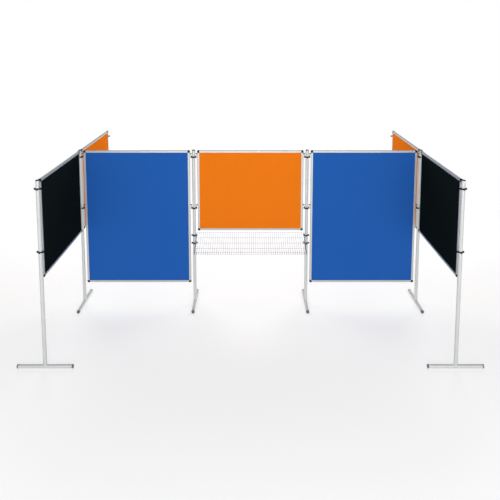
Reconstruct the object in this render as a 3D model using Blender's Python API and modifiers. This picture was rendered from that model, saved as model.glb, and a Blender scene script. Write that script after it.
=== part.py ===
"""Free-standing pinboard wall: six round posts on T-feet, seven framed felt boards and a sloping wire rack.

Three boards stand in a row, a board runs forward and another back from each corner post. Every board hangs by
pins in the lugs of rings on the posts, so each joint between two boards is a hinge. Metres, +Z up. The floor is
z = 0 and the origin lies under the middle of the whole wall. The viewer stands at -Y.
"""

import math

import bmesh
import bpy
from mathutils import Matrix, Vector

# Clearance between two pieces that touch
FIT_GAP = 0.0003

# Posts: round steel tube with a push-in cap
POST_RADIUS = 0.0175
POST_WALL = 0.002
POST_SIDES = 16
CAP_HEIGHT = 0.007
CAP_OVERHANG = 0.0007
CAP_EDGE = 0.0025
CAP_STEM_LENGTH = 0.022

# T-feet: a tube with plugs in its ends, and a hub whose spigot enters the post
FOOT_LENGTH = 0.510
FOOT_RADIUS = 0.0175
PLUG_LIP = 0.0015
PLUG_LENGTH = 0.012
PLUG_EDGE = 0.003
PLUG_FLAT_DEPTH = 0.001
HUB_RISE = 0.004
SPIGOT_LENGTH = 0.060
SPIGOT_EDGE = 0.002

# Boards: a felt panel in a channel of aluminium rail, with plastic corners
BOARD_WIDTH = 1.160
TALL_HEIGHT = 1.500
LOW_HEIGHT = 0.900
BOARD_DROP = 0.008
FLOOR_CLEARANCE = 0.242
PANEL_THICKNESS = 0.015
RAIL_FACE = 0.021
RAIL_WALL = 0.0022
RAIL_WEB = 0.004
CORNER_LAP = 0.002
CORNER_PROUD = 0.0008
CORNER_RADIUS = 0.011
CORNER_STEPS = 3
SHARP_DEGREES = 40.0

# Hooks: a bush on the side of the rail holds a pin that stands in the eye of a lug
PIN_RADIUS = 0.003
PIN_STANDOFF = 0.013
PIN_TAIL = 0.005
SHOULDER_LEDGE = 0.0008
BUSH_RADIUS = 0.0065
BUSH_SIDES = 8
BUSH_RISE = 0.036
BUSH_SINK = 0.002
BUSH_NOSE = 0.0045

# Rings: a collar round the post with four lugs, each with an upright eye
RING_WALL = 0.004
RING_HEIGHT = 0.016
EYE_STANDOFF = 0.0052
EYE_CLEARANCE = 0.0005
EYE_SIDES = 8
LUG_WALL = 0.003
LUG_STEPS = 4
LUG_COUNT = 4
UPPER_RING_DROP = 0.081
LOWER_RING_DROP = 0.654

# Wire rack: a sloping floor and an upright lip of welded wire, carried by two bent wire arms
RACK_CLEARANCE = 0.056
RACK_RING_SPACING = 0.089
RACK_DEPTH = 0.360
RACK_FALL = 0.108
ARM_RISE = 0.018
ARM_BEND = 0.010
ARM_BEND_STEPS = 3
BRACE_SETBACK = 0.040
WIRE = 0.003
LIP_HEIGHT = 0.030
WIRE_GAPS = 51
FLOOR_ROWS = 4

# How far a cutter runs past what it cuts
OVERRUN = 0.010

# Shares of a circle
HALF_SHARE = 1 / 2
QUARTER_SHARE = 1 / 4

# Sizes and places that follow from those above
EYE_RADIUS = PIN_RADIUS + EYE_CLEARANCE
LUG_RADIUS = EYE_RADIUS + LUG_WALL
SHOULDER_RADIUS = EYE_RADIUS + SHOULDER_LEDGE
ARM_RADIUS = PIN_RADIUS
RING_RADIUS = POST_RADIUS + FIT_GAP + RING_WALL
EYE_REACH = RING_RADIUS + EYE_STANDOFF
POST_PITCH = BOARD_WIDTH + 2 * (EYE_REACH + PIN_STANDOFF)
POST_TOP = FLOOR_CLEARANCE + TALL_HEIGHT + BOARD_DROP
BOARD_TOP = POST_TOP - BOARD_DROP
RAIL_DEPTH = PANEL_THICKNESS + 2 * (FIT_GAP + RAIL_WALL)
CORNER_SIZE = RAIL_FACE + CORNER_LAP
PLUG_RADIUS = FOOT_RADIUS + PLUG_LIP
FOOT_CENTRE = PLUG_RADIUS - PLUG_FLAT_DEPTH
HUB_TOP = FOOT_CENTRE + FOOT_RADIUS + HUB_RISE
CAP_BASE = POST_TOP - CAP_HEIGHT
UPPER_RING = POST_TOP - UPPER_RING_DROP
LOWER_RING = POST_TOP - LOWER_RING_DROP
RACK_UPPER_RING = BOARD_TOP - LOW_HEIGHT - RACK_CLEARANCE
RACK_LOWER_RING = RACK_UPPER_RING - RACK_RING_SPACING
NEAR_REACH = POST_PITCH + EYE_REACH + LUG_RADIUS
REAR_REACH = POST_PITCH - EYE_REACH + BUSH_NOSE
ROW_Y = (NEAR_REACH - REAR_REACH) / 2
CENTRE_X = POST_PITCH / 2
CORNER_X = CENTRE_X + POST_PITCH
NEAR_Y = ROW_Y - POST_PITCH

# Finishes: colour, roughness, metallic
POWDER_GREY = ((0.58, 0.61, 0.60, 1.0), 0.40, 0.0)
ALUMINIUM = ((0.62, 0.65, 0.67, 1.0), 0.32, 0.9)
BLACK_PLASTIC = ((0.016, 0.022, 0.025, 1.0), 0.45, 0.0)
RACK_WIRE = ((0.66, 0.70, 0.74, 1.0), 0.30, 0.7)
BLUE_FELT = ((0.019, 0.100, 0.376, 1.0), 0.95, 0.0)
ORANGE_FELT = ((0.847, 0.191, 0.011, 1.0), 0.95, 0.0)
BLACK_FELT = ((0.004, 0.007, 0.008, 1.0), 0.95, 0.0)

WALL = bpy.data.collections.new("pinboard_wall")
CUTTERS = bpy.data.collections.new("cutters")
CARRIERS = {}


def clear_scene():
    """Removes the objects that the file starts with."""
    for obj in list(bpy.data.objects):
        bpy.data.objects.remove(obj, do_unlink=True)
    bpy.context.scene.collection.children.link(WALL)
    bpy.context.scene.collection.children.link(CUTTERS)


def carrier(name, location, parent=None):
    """Adds an empty on a joint's axis, which the pieces that move together are parented to."""
    empty = bpy.data.objects.new(name, None)
    empty.empty_display_size = POST_RADIUS
    WALL.objects.link(empty)
    place = Vector(location)
    if parent:
        empty.parent = bpy.data.objects[parent]
        place = place - CARRIERS[parent]
    empty.location = place
    CARRIERS[name] = Vector(location)


def finished(obj, finish):
    """Gives an object a material of its own."""
    colour, roughness, metallic = finish
    material = bpy.data.materials.new(obj.name)
    material.use_nodes = True
    shader = material.node_tree.nodes["Principled BSDF"]
    shader.inputs["Base Color"].default_value = colour
    shader.inputs["Roughness"].default_value = roughness
    shader.inputs["Metallic"].default_value = metallic
    obj.material_slots[0].link = "OBJECT"
    obj.material_slots[0].material = material


def add_piece(name, mesh, finish, moves_with, location, turn=0.0):
    """Adds one piece of the wall at a world location, turned about Z and parented to its carrier."""
    obj = bpy.data.objects.new(name, mesh)
    WALL.objects.link(obj)
    obj.parent = bpy.data.objects[moves_with]
    obj.location = Vector(location) - CARRIERS[moves_with]
    obj.rotation_euler.z = turn
    finished(obj, finish)
    return obj


def baked(obj, helpers=()):
    """Turns a finished object into a plain mesh in world coordinates, and removes it and its helpers."""
    bpy.context.view_layer.update()
    graph = bpy.context.evaluated_depsgraph_get()
    mesh = bpy.data.meshes.new_from_object(obj.evaluated_get(graph))
    mesh.transform(obj.matrix_world)
    body = bmesh.new()
    body.from_mesh(mesh)
    bmesh.ops.remove_doubles(body, verts=body.verts, dist=FIT_GAP / 100)
    bmesh.ops.recalc_face_normals(body, faces=body.faces)
    body.to_mesh(mesh)
    body.free()
    mesh.shade_smooth()
    mesh.set_sharp_from_angle(angle=math.radians(SHARP_DEGREES))
    if not mesh.materials:
        mesh.materials.append(None)
    for used in (obj, *helpers):
        bpy.data.objects.remove(used, do_unlink=True)
    return mesh


def added(name, data):
    """Adds new data as a working object."""
    obj = bpy.data.objects.new(name, data)
    CUTTERS.objects.link(obj)
    return obj


def helper(name, mesh):
    """Adds an object that only cuts or joins another."""
    obj = added(name, mesh)
    obj.hide_render = True
    obj.display_type = "WIRE"
    return obj


def combine(obj, other, operation):
    """Joins another solid to an object, or cuts it away."""
    boolean = obj.modifiers.new(operation.lower(), "BOOLEAN")
    boolean.operation = operation
    boolean.solver = "EXACT"
    boolean.object = other


def circle(radius, sides, centre=(0.0, 0.0)):
    """Points of a circle, anticlockwise."""
    step = math.tau / sides
    return [(centre[0] + radius * math.cos(step * i), centre[1] + radius * math.sin(step * i)) for i in range(sides)]


def rectangle(left, right, low, high):
    """Corners of an upright rectangle, anticlockwise."""
    return [(left, low), (right, low), (right, high), (left, high)]


def slab(name, outlines, thickness):
    """Extrudes flat outlines, the holes among them, to a slab about z = 0."""
    curve = bpy.data.curves.new(name, "CURVE")
    curve.dimensions = "2D"
    curve.fill_mode = "BOTH"
    curve.extrude = thickness / 2
    for outline in outlines:
        spline = curve.splines.new("POLY")
        spline.points.add(len(outline) - 1)
        spline.use_cyclic_u = True
        for point, (x, y) in zip(spline.points, outline):
            point.co = (x, y, 0.0, 1.0)
    return added(name, curve)


def turned(name, profile, cyclic=False):
    """Turns a profile of (radius, height) points about Z."""
    mesh = bpy.data.meshes.new(name)
    count = len(profile)
    edges = [(i, i + 1) for i in range(count - 1)]
    if cyclic:
        edges.append((count - 1, 0))
    mesh.from_pydata([(radius, 0.0, height) for radius, height in profile], edges, [])
    obj = added(name, mesh)
    screw = obj.modifiers.new("turn", "SCREW")
    screw.steps = POST_SIDES
    screw.render_steps = POST_SIDES
    screw.use_merge_vertices = True
    screw.merge_threshold = FIT_GAP / 100
    return obj


def box_mesh(name, size, centre=(0.0, 0.0, 0.0)):
    """A box of the given size about its centre."""
    mesh = bpy.data.meshes.new(name)
    body = bmesh.new()
    bmesh.ops.create_cube(body, size=1.0, matrix=Matrix.Translation(centre) @ Matrix.Diagonal((*size, 1.0)))
    body.to_mesh(mesh)
    body.free()
    mesh.materials.append(None)
    return mesh


def cylinders_mesh(name, cylinders):
    """Cylinders in one mesh, each given as radius, sides, start and end point."""
    mesh = bpy.data.meshes.new(name)
    body = bmesh.new()
    for radius, sides, start, end in cylinders:
        span = Vector(end) - Vector(start)
        upright = span.to_track_quat("Z", "Y").to_matrix().to_4x4()
        place = Matrix.Translation((Vector(start) + Vector(end)) / 2) @ upright
        bmesh.ops.create_cone(
            body,
            cap_ends=True,
            segments=sides,
            radius1=radius,
            radius2=radius,
            depth=span.length,
            matrix=place,
        )
    body.to_mesh(mesh)
    body.free()
    return mesh


def post_mesh():
    """The tube from the foot's hub to the cap."""
    outer, inner = POST_RADIUS, POST_RADIUS - POST_WALL
    top, base = CAP_BASE - FIT_GAP, HUB_TOP + FIT_GAP
    profile = [(outer, top), (outer, base), (inner, base), (inner, top)]
    return baked(turned("post", profile, cyclic=True))


def cap_mesh():
    """The cap's rounded head and the stem that plugs the tube."""
    rim = POST_RADIUS + CAP_OVERHANG
    stem = POST_RADIUS - POST_WALL - FIT_GAP
    profile = [
        (0.0, POST_TOP),
        (rim - CAP_EDGE, POST_TOP),
        (rim, POST_TOP - CAP_EDGE),
        (rim, CAP_BASE),
        (stem, CAP_BASE),
        (stem, CAP_BASE - CAP_STEM_LENGTH),
        (0.0, CAP_BASE - CAP_STEM_LENGTH),
    ]
    return baked(turned("cap", profile))


def foot_mesh():
    """The foot tube with its end plugs, lying along X, with the hub and the spigot that enters the post."""
    end, plug = FOOT_LENGTH / 2, FOOT_LENGTH / 2 - PLUG_LENGTH
    half = [
        (0.0, end),
        (PLUG_RADIUS - PLUG_EDGE, end),
        (PLUG_RADIUS, end - PLUG_EDGE),
        (PLUG_RADIUS, plug),
        (FOOT_RADIUS, plug),
    ]
    tube = turned("foot", half + [(radius, -height) for radius, height in reversed(half)])
    tube.rotation_euler.y = math.pi / 2
    tube.location.z = FOOT_CENTRE
    spigot = POST_RADIUS - POST_WALL - FIT_GAP
    top = HUB_TOP + SPIGOT_LENGTH
    hub = turned(
        "hub",
        [
            (0.0, top),
            (spigot - SPIGOT_EDGE, top),
            (spigot, top - SPIGOT_EDGE),
            (spigot, HUB_TOP),
            (POST_RADIUS, HUB_TOP),
            (POST_RADIUS, FOOT_CENTRE),
            (0.0, FOOT_CENTRE),
        ],
    )
    hub = helper("hub", baked(hub))
    wide = FOOT_LENGTH + OVERRUN
    floor = helper("floor", box_mesh("floor", (wide, wide, wide), (0.0, 0.0, -wide / 2)))
    combine(tube, hub, "UNION")
    combine(tube, floor, "DIFFERENCE")
    return baked(tube, (hub, floor))


def ring_mesh():
    """The collar with a round-ended lug on each side, and the upright eyes in the lugs."""
    root = math.asin(LUG_RADIUS / RING_RADIUS)
    outline = []
    eyes = []
    for lug in range(LUG_COUNT):
        facing = math.tau * lug / LUG_COUNT
        eye = (EYE_REACH * math.cos(facing), EYE_REACH * math.sin(facing))
        outline.append((RING_RADIUS * math.cos(facing - root), RING_RADIUS * math.sin(facing - root)))
        for i in range(LUG_STEPS + 1):
            angle = facing + math.tau * (HALF_SHARE * i / LUG_STEPS - QUARTER_SHARE)
            outline.append((eye[0] + LUG_RADIUS * math.cos(angle), eye[1] + LUG_RADIUS * math.sin(angle)))
        outline.append((RING_RADIUS * math.cos(facing + root), RING_RADIUS * math.sin(facing + root)))
        middle = facing + math.pi / LUG_COUNT
        outline.append((RING_RADIUS * math.cos(middle), RING_RADIUS * math.sin(middle)))
        eyes.append(circle(EYE_RADIUS, EYE_SIDES, eye))
    bore = circle(POST_RADIUS + FIT_GAP, POST_SIDES)
    return baked(slab("ring", [outline, bore, *eyes], RING_HEIGHT))


def frame_outline(half, low, high):
    """Outer outline of a frame, rounded inside its corner pieces."""
    points = []
    corners = (
        (half, low, -QUARTER_SHARE),
        (half, high, 0.0),
        (-half, high, QUARTER_SHARE),
        (-half, low, HALF_SHARE),
    )
    for x, z, start_share in corners:
        centre = (x - math.copysign(CORNER_RADIUS, x), z + CORNER_RADIUS if z == low else z - CORNER_RADIUS)
        for i in range(CORNER_STEPS + 1):
            angle = math.tau * (start_share + QUARTER_SHARE * i / CORNER_STEPS)
            points.append(
                (centre[0] + CORNER_RADIUS * math.cos(angle), centre[1] + CORNER_RADIUS * math.sin(angle))
            )
    return points


def corner_outline(half, low, high, right, upper):
    """Outline of one corner piece: a square with its outer corner rounded."""
    radius = CORNER_RADIUS + CORNER_PROUD
    outer_x, outer_z = half + CORNER_PROUD, high + CORNER_PROUD
    inner_x, inner_z = half - CORNER_SIZE, high - CORNER_SIZE
    points = [(inner_x, outer_z), (inner_x, inner_z), (outer_x, inner_z)]
    for i in range(CORNER_STEPS + 1):
        angle = math.tau * QUARTER_SHARE * i / CORNER_STEPS
        points.append((outer_x - radius + radius * math.cos(angle), outer_z - radius + radius * math.sin(angle)))
    middle = (low + high) / 2
    return [(x if right else -x, z if upper else 2 * middle - z) for x, z in points]


def hook_places():
    """Side and ring height of the four hooks of a board."""
    return [(side, ring) for side in (-1, 1) for ring in (UPPER_RING, LOWER_RING)]


def frame_mesh(height):
    """Four rails round a board with the channel for its panel, the corner pieces and the hooks."""
    half, low, high = BOARD_WIDTH / 2, BOARD_TOP - height, BOARD_TOP
    inner = rectangle(-half + RAIL_FACE, half - RAIL_FACE, low + RAIL_FACE, high - RAIL_FACE)
    rails = slab("rails", [frame_outline(half, low, high), inner], RAIL_DEPTH)
    rails.rotation_euler.x = math.pi / 2
    rails = added("rails", baked(rails))
    outlines = [corner_outline(half, low, high, right, upper) for right in (False, True) for upper in (False, True)]
    corners = slab("corners", outlines, RAIL_DEPTH + 2 * CORNER_PROUD)
    corners.rotation_euler.x = math.pi / 2
    corners = helper("corners", baked(corners))
    pin_x = half + PIN_STANDOFF
    pins, shoulders, bushes = [], [], []
    for side, ring in hook_places():
        foot = (side * pin_x, 0.0, ring - RING_HEIGHT / 2 - PIN_TAIL)
        seat = (side * pin_x, 0.0, ring + RING_HEIGHT / 2 + FIT_GAP)
        bend = (side * pin_x, 0.0, ring + BUSH_RISE)
        pins.append((PIN_RADIUS, EYE_SIDES, foot, bend))
        shoulders.append((SHOULDER_RADIUS, BUSH_SIDES, seat, bend))
        root = (side * (half - BUSH_SINK), 0.0, ring + BUSH_RISE)
        nose = (side * (pin_x + BUSH_NOSE), 0.0, ring + BUSH_RISE)
        bushes.append((BUSH_RADIUS, BUSH_SIDES, root, nose))
    pins = helper("pins", cylinders_mesh("pins", pins))
    shoulders = helper("shoulders", cylinders_mesh("shoulders", shoulders))
    bushes = helper("bushes", cylinders_mesh("bushes", bushes))
    slot_size = (BOARD_WIDTH - 2 * RAIL_WEB, PANEL_THICKNESS + 2 * FIT_GAP, height - 2 * RAIL_WEB)
    slot = helper("slot", box_mesh("slot", slot_size, (0.0, 0.0, (low + high) / 2)))
    combine(rails, corners, "UNION")
    combine(rails, slot, "DIFFERENCE")
    combine(rails, bushes, "UNION")
    combine(rails, shoulders, "UNION")
    combine(rails, pins, "UNION")
    return baked(rails, (corners, pins, shoulders, bushes, slot))


def panel_mesh(height):
    """The felt-covered panel in its frame's channel."""
    inset = RAIL_WEB + FIT_GAP
    size = (BOARD_WIDTH - 2 * inset, PANEL_THICKNESS, height - 2 * inset)
    return box_mesh("panel", size, (0.0, 0.0, BOARD_TOP - height / 2))


def grille(name, width, length, rows):
    """A flat grille of square wire: WIRE_GAPS gaps across its width and the given rows of them."""
    across = (width - WIRE) / WIRE_GAPS
    along = (length - WIRE) / rows
    outlines = [rectangle(-width / 2, width / 2, 0.0, length)]
    for column in range(WIRE_GAPS):
        left = -width / 2 + WIRE + across * column
        for row in range(rows):
            low = WIRE + along * row
            outlines.append(rectangle(left, left + across - WIRE, low, low + along - WIRE))
    return slab(name, outlines, WIRE)


def rounded_path(corners, radius, steps):
    """A path whose inner corners are arcs, from its corner points in order."""
    path = [corners[0]]
    for before, corner, after in zip(corners, corners[1:], corners[2:]):
        back, ahead = (before - corner).normalized(), (after - corner).normalized()
        half_angle = back.angle(ahead) / 2
        tangent = radius / math.tan(half_angle)
        centre = corner + (back + ahead).normalized() * (radius / math.sin(half_angle))
        start, end = corner + back * tangent - centre, corner + ahead * tangent - centre
        axis = start.cross(end).normalized()
        sweep = start.angle(end)
        for i in range(steps + 1):
            path.append(centre + Matrix.Rotation(sweep * i / steps, 3, axis) @ start)
    path.append(corners[-1])
    return path


def bent_wire(name, corners):
    """A round wire along a path with rounded corners."""
    curve = bpy.data.curves.new(name, "CURVE")
    curve.dimensions = "3D"
    curve.bevel_depth = ARM_RADIUS
    curve.bevel_resolution = 2
    curve.use_fill_caps = True
    points = rounded_path(corners, ARM_BEND, ARM_BEND_STEPS)
    spline = curve.splines.new("POLY")
    spline.points.add(len(points) - 1)
    for point, place in zip(spline.points, points):
        point.co = (*place, 1.0)
    return baked(added(name, curve))


def arm_mesh():
    """A side arm at x = 0: from the upper eye along the tray and up beside the lip, with a brace to the lower eye."""
    back = Vector((0.0, 0.0, RACK_UPPER_RING + RING_HEIGHT / 2 + ARM_RISE))
    slope = Vector((0.0, -RACK_DEPTH, -RACK_FALL))
    front = back + slope * ((RACK_DEPTH - WIRE / 2) / RACK_DEPTH)
    pin_drop = RING_HEIGHT / 2 + PIN_TAIL
    upper_pin = Vector((0.0, 0.0, RACK_UPPER_RING - pin_drop))
    lip_end = front + Vector((0.0, 0.0, LIP_HEIGHT))
    arm = added("arm", bent_wire("arm", [upper_pin, back, front, lip_end]))
    lower_pin = Vector((0.0, 0.0, RACK_LOWER_RING - pin_drop))
    bend = Vector((0.0, 0.0, RACK_LOWER_RING + RING_HEIGHT / 2 + ARM_RISE))
    weld = back + slope * ((RACK_DEPTH - BRACE_SETBACK) / RACK_DEPTH)
    brace = helper("brace", bent_wire("brace", [lower_pin, bend, weld]))
    combine(arm, brace, "UNION")
    return baked(arm, (brace,))


def add_posts():
    """The posts with their caps and feet."""
    post, cap, foot = post_mesh(), cap_mesh(), foot_mesh()
    across, along = 0.0, math.pi / 2
    places = (
        ("near_left", (-CORNER_X, NEAR_Y, 0.0), "left_wing", across),
        ("corner_left", (-CORNER_X, ROW_Y, 0.0), "left_bay", along),
        ("centre_left", (-CENTRE_X, ROW_Y, 0.0), "centre_bay", along),
        ("centre_right", (CENTRE_X, ROW_Y, 0.0), "centre_bay", along),
        ("corner_right", (CORNER_X, ROW_Y, 0.0), "right_bay", along),
        ("near_right", (CORNER_X, NEAR_Y, 0.0), "right_wing", across),
    )
    for name, place, moves_with, turn in places:
        add_piece("post_" + name, post, POWDER_GREY, moves_with, place)
        add_piece("cap_" + name, cap, BLACK_PLASTIC, moves_with, place)
        carrier("foot_swivel_" + name, place, moves_with)
        add_piece("foot_" + name, foot, POWDER_GREY, "foot_swivel_" + name, place, turn)


def add_rings():
    """Two rings on each post for the boards, and two more on each centre post for the rack."""
    ring = ring_mesh()
    posts = (
        ("near_left", -CORNER_X, NEAR_Y, "left_wing"),
        ("corner_left", -CORNER_X, ROW_Y, "left_bay"),
        ("centre_left", -CENTRE_X, ROW_Y, "centre_bay"),
        ("centre_right", CENTRE_X, ROW_Y, "centre_bay"),
        ("corner_right", CORNER_X, ROW_Y, "right_bay"),
        ("near_right", CORNER_X, NEAR_Y, "right_wing"),
    )
    for name, x, y, moves_with in posts:
        add_piece("ring_" + name + "_upper", ring, BLACK_PLASTIC, moves_with, (x, y, UPPER_RING))
        add_piece("ring_" + name + "_lower", ring, BLACK_PLASTIC, moves_with, (x, y, LOWER_RING))
    for name, x in (("left", -CENTRE_X), ("right", CENTRE_X)):
        add_piece("rack_ring_" + name + "_upper", ring, BLACK_PLASTIC, "rack", (x, ROW_Y, RACK_UPPER_RING))
        add_piece("rack_ring_" + name + "_lower", ring, BLACK_PLASTIC, "rack", (x, ROW_Y, RACK_LOWER_RING))


def add_boards():
    """The seven boards: each is a felt panel and its frame."""
    tall = (panel_mesh(TALL_HEIGHT), frame_mesh(TALL_HEIGHT))
    low = (panel_mesh(LOW_HEIGHT), frame_mesh(LOW_HEIGHT))
    tall_x, side_y = POST_PITCH, POST_PITCH / 2
    upright = math.pi / 2
    boards = (
        ("near_left", low, BLACK_FELT, "left_wing", (-CORNER_X, ROW_Y - side_y, 0.0), upright),
        ("tall_left", tall, BLUE_FELT, "left_bay", (-tall_x, ROW_Y, 0.0), 0.0),
        ("rear_left", low, ORANGE_FELT, "left_rear", (-CORNER_X, ROW_Y + side_y, 0.0), upright),
        ("centre", low, ORANGE_FELT, "centre_board", (0.0, ROW_Y, 0.0), 0.0),
        ("tall_right", tall, BLUE_FELT, "right_bay", (tall_x, ROW_Y, 0.0), 0.0),
        ("rear_right", low, ORANGE_FELT, "right_rear", (CORNER_X, ROW_Y + side_y, 0.0), upright),
        ("near_right", low, BLACK_FELT, "right_wing", (CORNER_X, ROW_Y - side_y, 0.0), upright),
    )
    for name, (panel, frame), felt, moves_with, place, turn in boards:
        add_piece("board_" + name, panel, felt, moves_with, place, turn)
        add_piece("frame_" + name, frame, ALUMINIUM, moves_with, place, turn)


def add_rack():
    """The wire rack under the centre board: its floor, its lip and its two arms."""
    arm_x = CENTRE_X - EYE_REACH
    width = 2 * (arm_x - ARM_RADIUS - FIT_GAP)
    back_z = RACK_UPPER_RING + RING_HEIGHT / 2 + ARM_RISE
    slope = math.atan2(RACK_FALL, RACK_DEPTH)
    lip_back = RACK_DEPTH - WIRE
    length = (lip_back - FIT_GAP) / math.cos(slope) - WIRE / 2 * math.tan(slope)
    floor = grille("floor", width, length, FLOOR_ROWS)
    floor.rotation_euler.x = math.pi + slope
    floor.location = (0.0, 0.0, back_z)
    add_piece("rack_floor", baked(floor), RACK_WIRE, "rack", (0.0, ROW_Y, 0.0))
    lip = grille("lip", width, LIP_HEIGHT, 1)
    lip.rotation_euler.x = math.pi / 2
    lip.location = (0.0, -lip_back - WIRE / 2, back_z - RACK_FALL)
    add_piece("rack_lip", baked(lip), RACK_WIRE, "rack", (0.0, ROW_Y, 0.0))
    arm = arm_mesh()
    for name, x in (("left", -arm_x), ("right", arm_x)):
        add_piece("rack_arm_" + name, arm, RACK_WIRE, "rack", (x, ROW_Y, 0.0))


def add_carriers():
    """The joint axes: each board's pins in the eyes of its rings, and the posts that the rack slides on."""
    bay_pin = CENTRE_X + EYE_REACH
    carrier("centre_bay", (0.0, ROW_Y, 0.0))
    carrier("centre_board", (0.0, ROW_Y, UPPER_RING), "centre_bay")
    carrier("rack", (0.0, ROW_Y, RACK_UPPER_RING), "centre_bay")
    for name, side in (("left", -1), ("right", 1)):
        carrier(name + "_bay", (side * bay_pin, ROW_Y, UPPER_RING), "centre_bay")
        carrier(name + "_wing", (side * CORNER_X, ROW_Y - EYE_REACH, UPPER_RING), name + "_bay")
        carrier(name + "_rear", (side * CORNER_X, ROW_Y + EYE_REACH, UPPER_RING), name + "_bay")


def main():
    clear_scene()
    add_carriers()
    add_posts()
    add_rings()
    add_boards()
    add_rack()


main()
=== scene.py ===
"""Looks of a free-standing pinboard wall: six tube posts on T-feet, seven framed felt boards and a wire rack.

Metres, +Z up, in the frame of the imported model. The viewer stands at -Y.
"""

import logging
import math
from dataclasses import dataclass, field
from enum import Enum

import bmesh
import bpy
from mathutils import Matrix, Vector


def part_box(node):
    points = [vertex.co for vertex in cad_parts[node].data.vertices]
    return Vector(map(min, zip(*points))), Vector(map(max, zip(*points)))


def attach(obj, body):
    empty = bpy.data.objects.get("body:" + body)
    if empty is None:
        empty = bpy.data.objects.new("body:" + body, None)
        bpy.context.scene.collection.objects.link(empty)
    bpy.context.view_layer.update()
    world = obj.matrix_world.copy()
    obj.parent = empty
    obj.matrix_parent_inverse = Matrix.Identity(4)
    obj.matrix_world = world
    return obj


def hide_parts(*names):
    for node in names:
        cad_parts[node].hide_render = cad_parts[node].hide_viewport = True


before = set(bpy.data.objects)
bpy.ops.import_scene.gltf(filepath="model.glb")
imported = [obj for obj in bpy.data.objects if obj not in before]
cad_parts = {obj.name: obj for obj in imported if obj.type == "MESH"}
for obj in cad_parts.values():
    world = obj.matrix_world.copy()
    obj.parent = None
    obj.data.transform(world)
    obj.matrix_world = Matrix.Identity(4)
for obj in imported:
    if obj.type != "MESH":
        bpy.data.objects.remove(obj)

Socket = bpy.types.NodeSocket
Pair = tuple[float, float]
Triple = tuple[float, float, float]
Colour = tuple[float, float, float, float]
Profile = list[Pair]
Spot = tuple[Vector, Vector]

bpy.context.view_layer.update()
LEVELS = ("upper", "lower")
ENDS = (-1.0, 1.0)
UP = Vector((0.0, 0.0, 1.0))
MM = 0.001
# Points closer than this are one point, and edges from this angle on stay sharp.
WELD = 0.00002
SHARP = 35.0
# Most values of a noise lie in this range.
NOISE_RANGE = (0.3, 0.7)
# The lay of each shell is moved on by its first vertex over this, so that no two shells carry the same lines.
LAY_STEP = 100.0

log = logging.getLogger("pinboard_wall")


class Side(Enum):
    """The wall's two halves, by the sign of X."""

    LEFT = -1.0
    RIGHT = 1.0

    @property
    def label(self) -> str:
        """The half in the names of nodes and pieces."""
        return self.name.lower()


class Lay(Enum):
    """The direction that a foot or a board runs in."""

    ACROSS = "x"
    ALONG = "y"


class FeltColour(Enum):
    """The felt's three colours, as linear colour values."""

    BLUE = (0.0195, 0.1130, 0.4350)
    ORANGE = (0.8700, 0.2000, 0.0100)
    BLACK = (0.0052, 0.0096, 0.0104)


class Graph:
    """Adds nodes to one node tree and links them."""

    def __init__(self, tree: bpy.types.NodeTree) -> None:
        """Starts from an empty tree.

        Args:
            tree: The node tree to fill.
        """
        self.tree = tree
        tree.nodes.clear()

    def add(self, kind: str, inputs: dict | None = None, **settings: object) -> bpy.types.Node:
        """Adds a node.

        Args:
            kind: The node's type name.
            inputs: A value or a socket to link for each input, by name or number.
            settings: Attributes of the node.

        Returns:
            The new node.
        """
        node = self.tree.nodes.new(kind)
        for key, value in settings.items():
            setattr(node, key, value)
        for key, value in (inputs or {}).items():
            if isinstance(value, Socket):
                self.link(value, node.inputs[key])
            else:
                node.inputs[key].default_value = value
        return node

    def link(self, value: Socket, target: Socket) -> None:
        """Links an output to an input."""
        self.tree.links.new(value, target)

    def maths(self, operation: str, *values: float | Socket) -> Socket:
        """Adds a Math node.

        Args:
            operation: The node's operation.
            values: Its inputs.

        Returns:
            The result's socket.
        """
        return self.add("ShaderNodeMath", dict(enumerate(values)), operation=operation).outputs[0]

    def ranged(self, value: Socket, low: float, high: float, to_low: float, to_high: float) -> Socket:
        """Maps a value from one range to another, clamped.

        Args:
            value: The value's socket.
            low: Start of the range that it comes from.
            high: End of that range.
            to_low: Start of the range that it goes to.
            to_high: End of that range.

        Returns:
            The result's socket.
        """
        ends = {0: value, 1: low, 2: high, 3: to_low, 4: to_high}
        return self.add("ShaderNodeMapRange", ends).outputs[0]

    def mixed(self, share: Socket, first: Colour | Socket, second: Colour | Socket) -> Socket:
        """Mixes two colours.

        Args:
            share: The second colour's share.
            first: The colour at share 0.
            second: The colour at share 1.

        Returns:
            The colour's socket.
        """
        return self.add("ShaderNodeMix", {0: share, 6: first, 7: second}, data_type="RGBA").outputs[2]

    def blended(self, share: Socket, first: Socket, second: Socket) -> Socket:
        """Mixes two shaders.

        Args:
            share: The second shader's share.
            first: The shader at share 0.
            second: The shader at share 1.

        Returns:
            The shader's socket.
        """
        return self.add("ShaderNodeMixShader", {0: share, 1: first, 2: second}).outputs[0]

    def noise(self, vector: Socket, scale: float | Socket, detail: float = 2.0, rough: float = 0.5) -> Socket:
        """Adds a Noise texture.

        Args:
            vector: The coordinates.
            scale: How many features go to a metre.
            detail: Octaves of finer noise.
            rough: Strength of the finer noise.

        Returns:
            The noise value's socket.
        """
        values = {"Vector": vector, "Scale": scale, "Detail": detail, "Roughness": rough}
        return self.add("ShaderNodeTexNoise", values).outputs["Fac"]


def toned(colour: Triple, share: float) -> Colour:
    """An opaque colour with its channels times a share."""
    return (*(channel * share for channel in colour), 1.0)


def grey(tone: float) -> Colour:
    """An opaque grey."""
    return (tone, tone, tone, 1.0)


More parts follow.
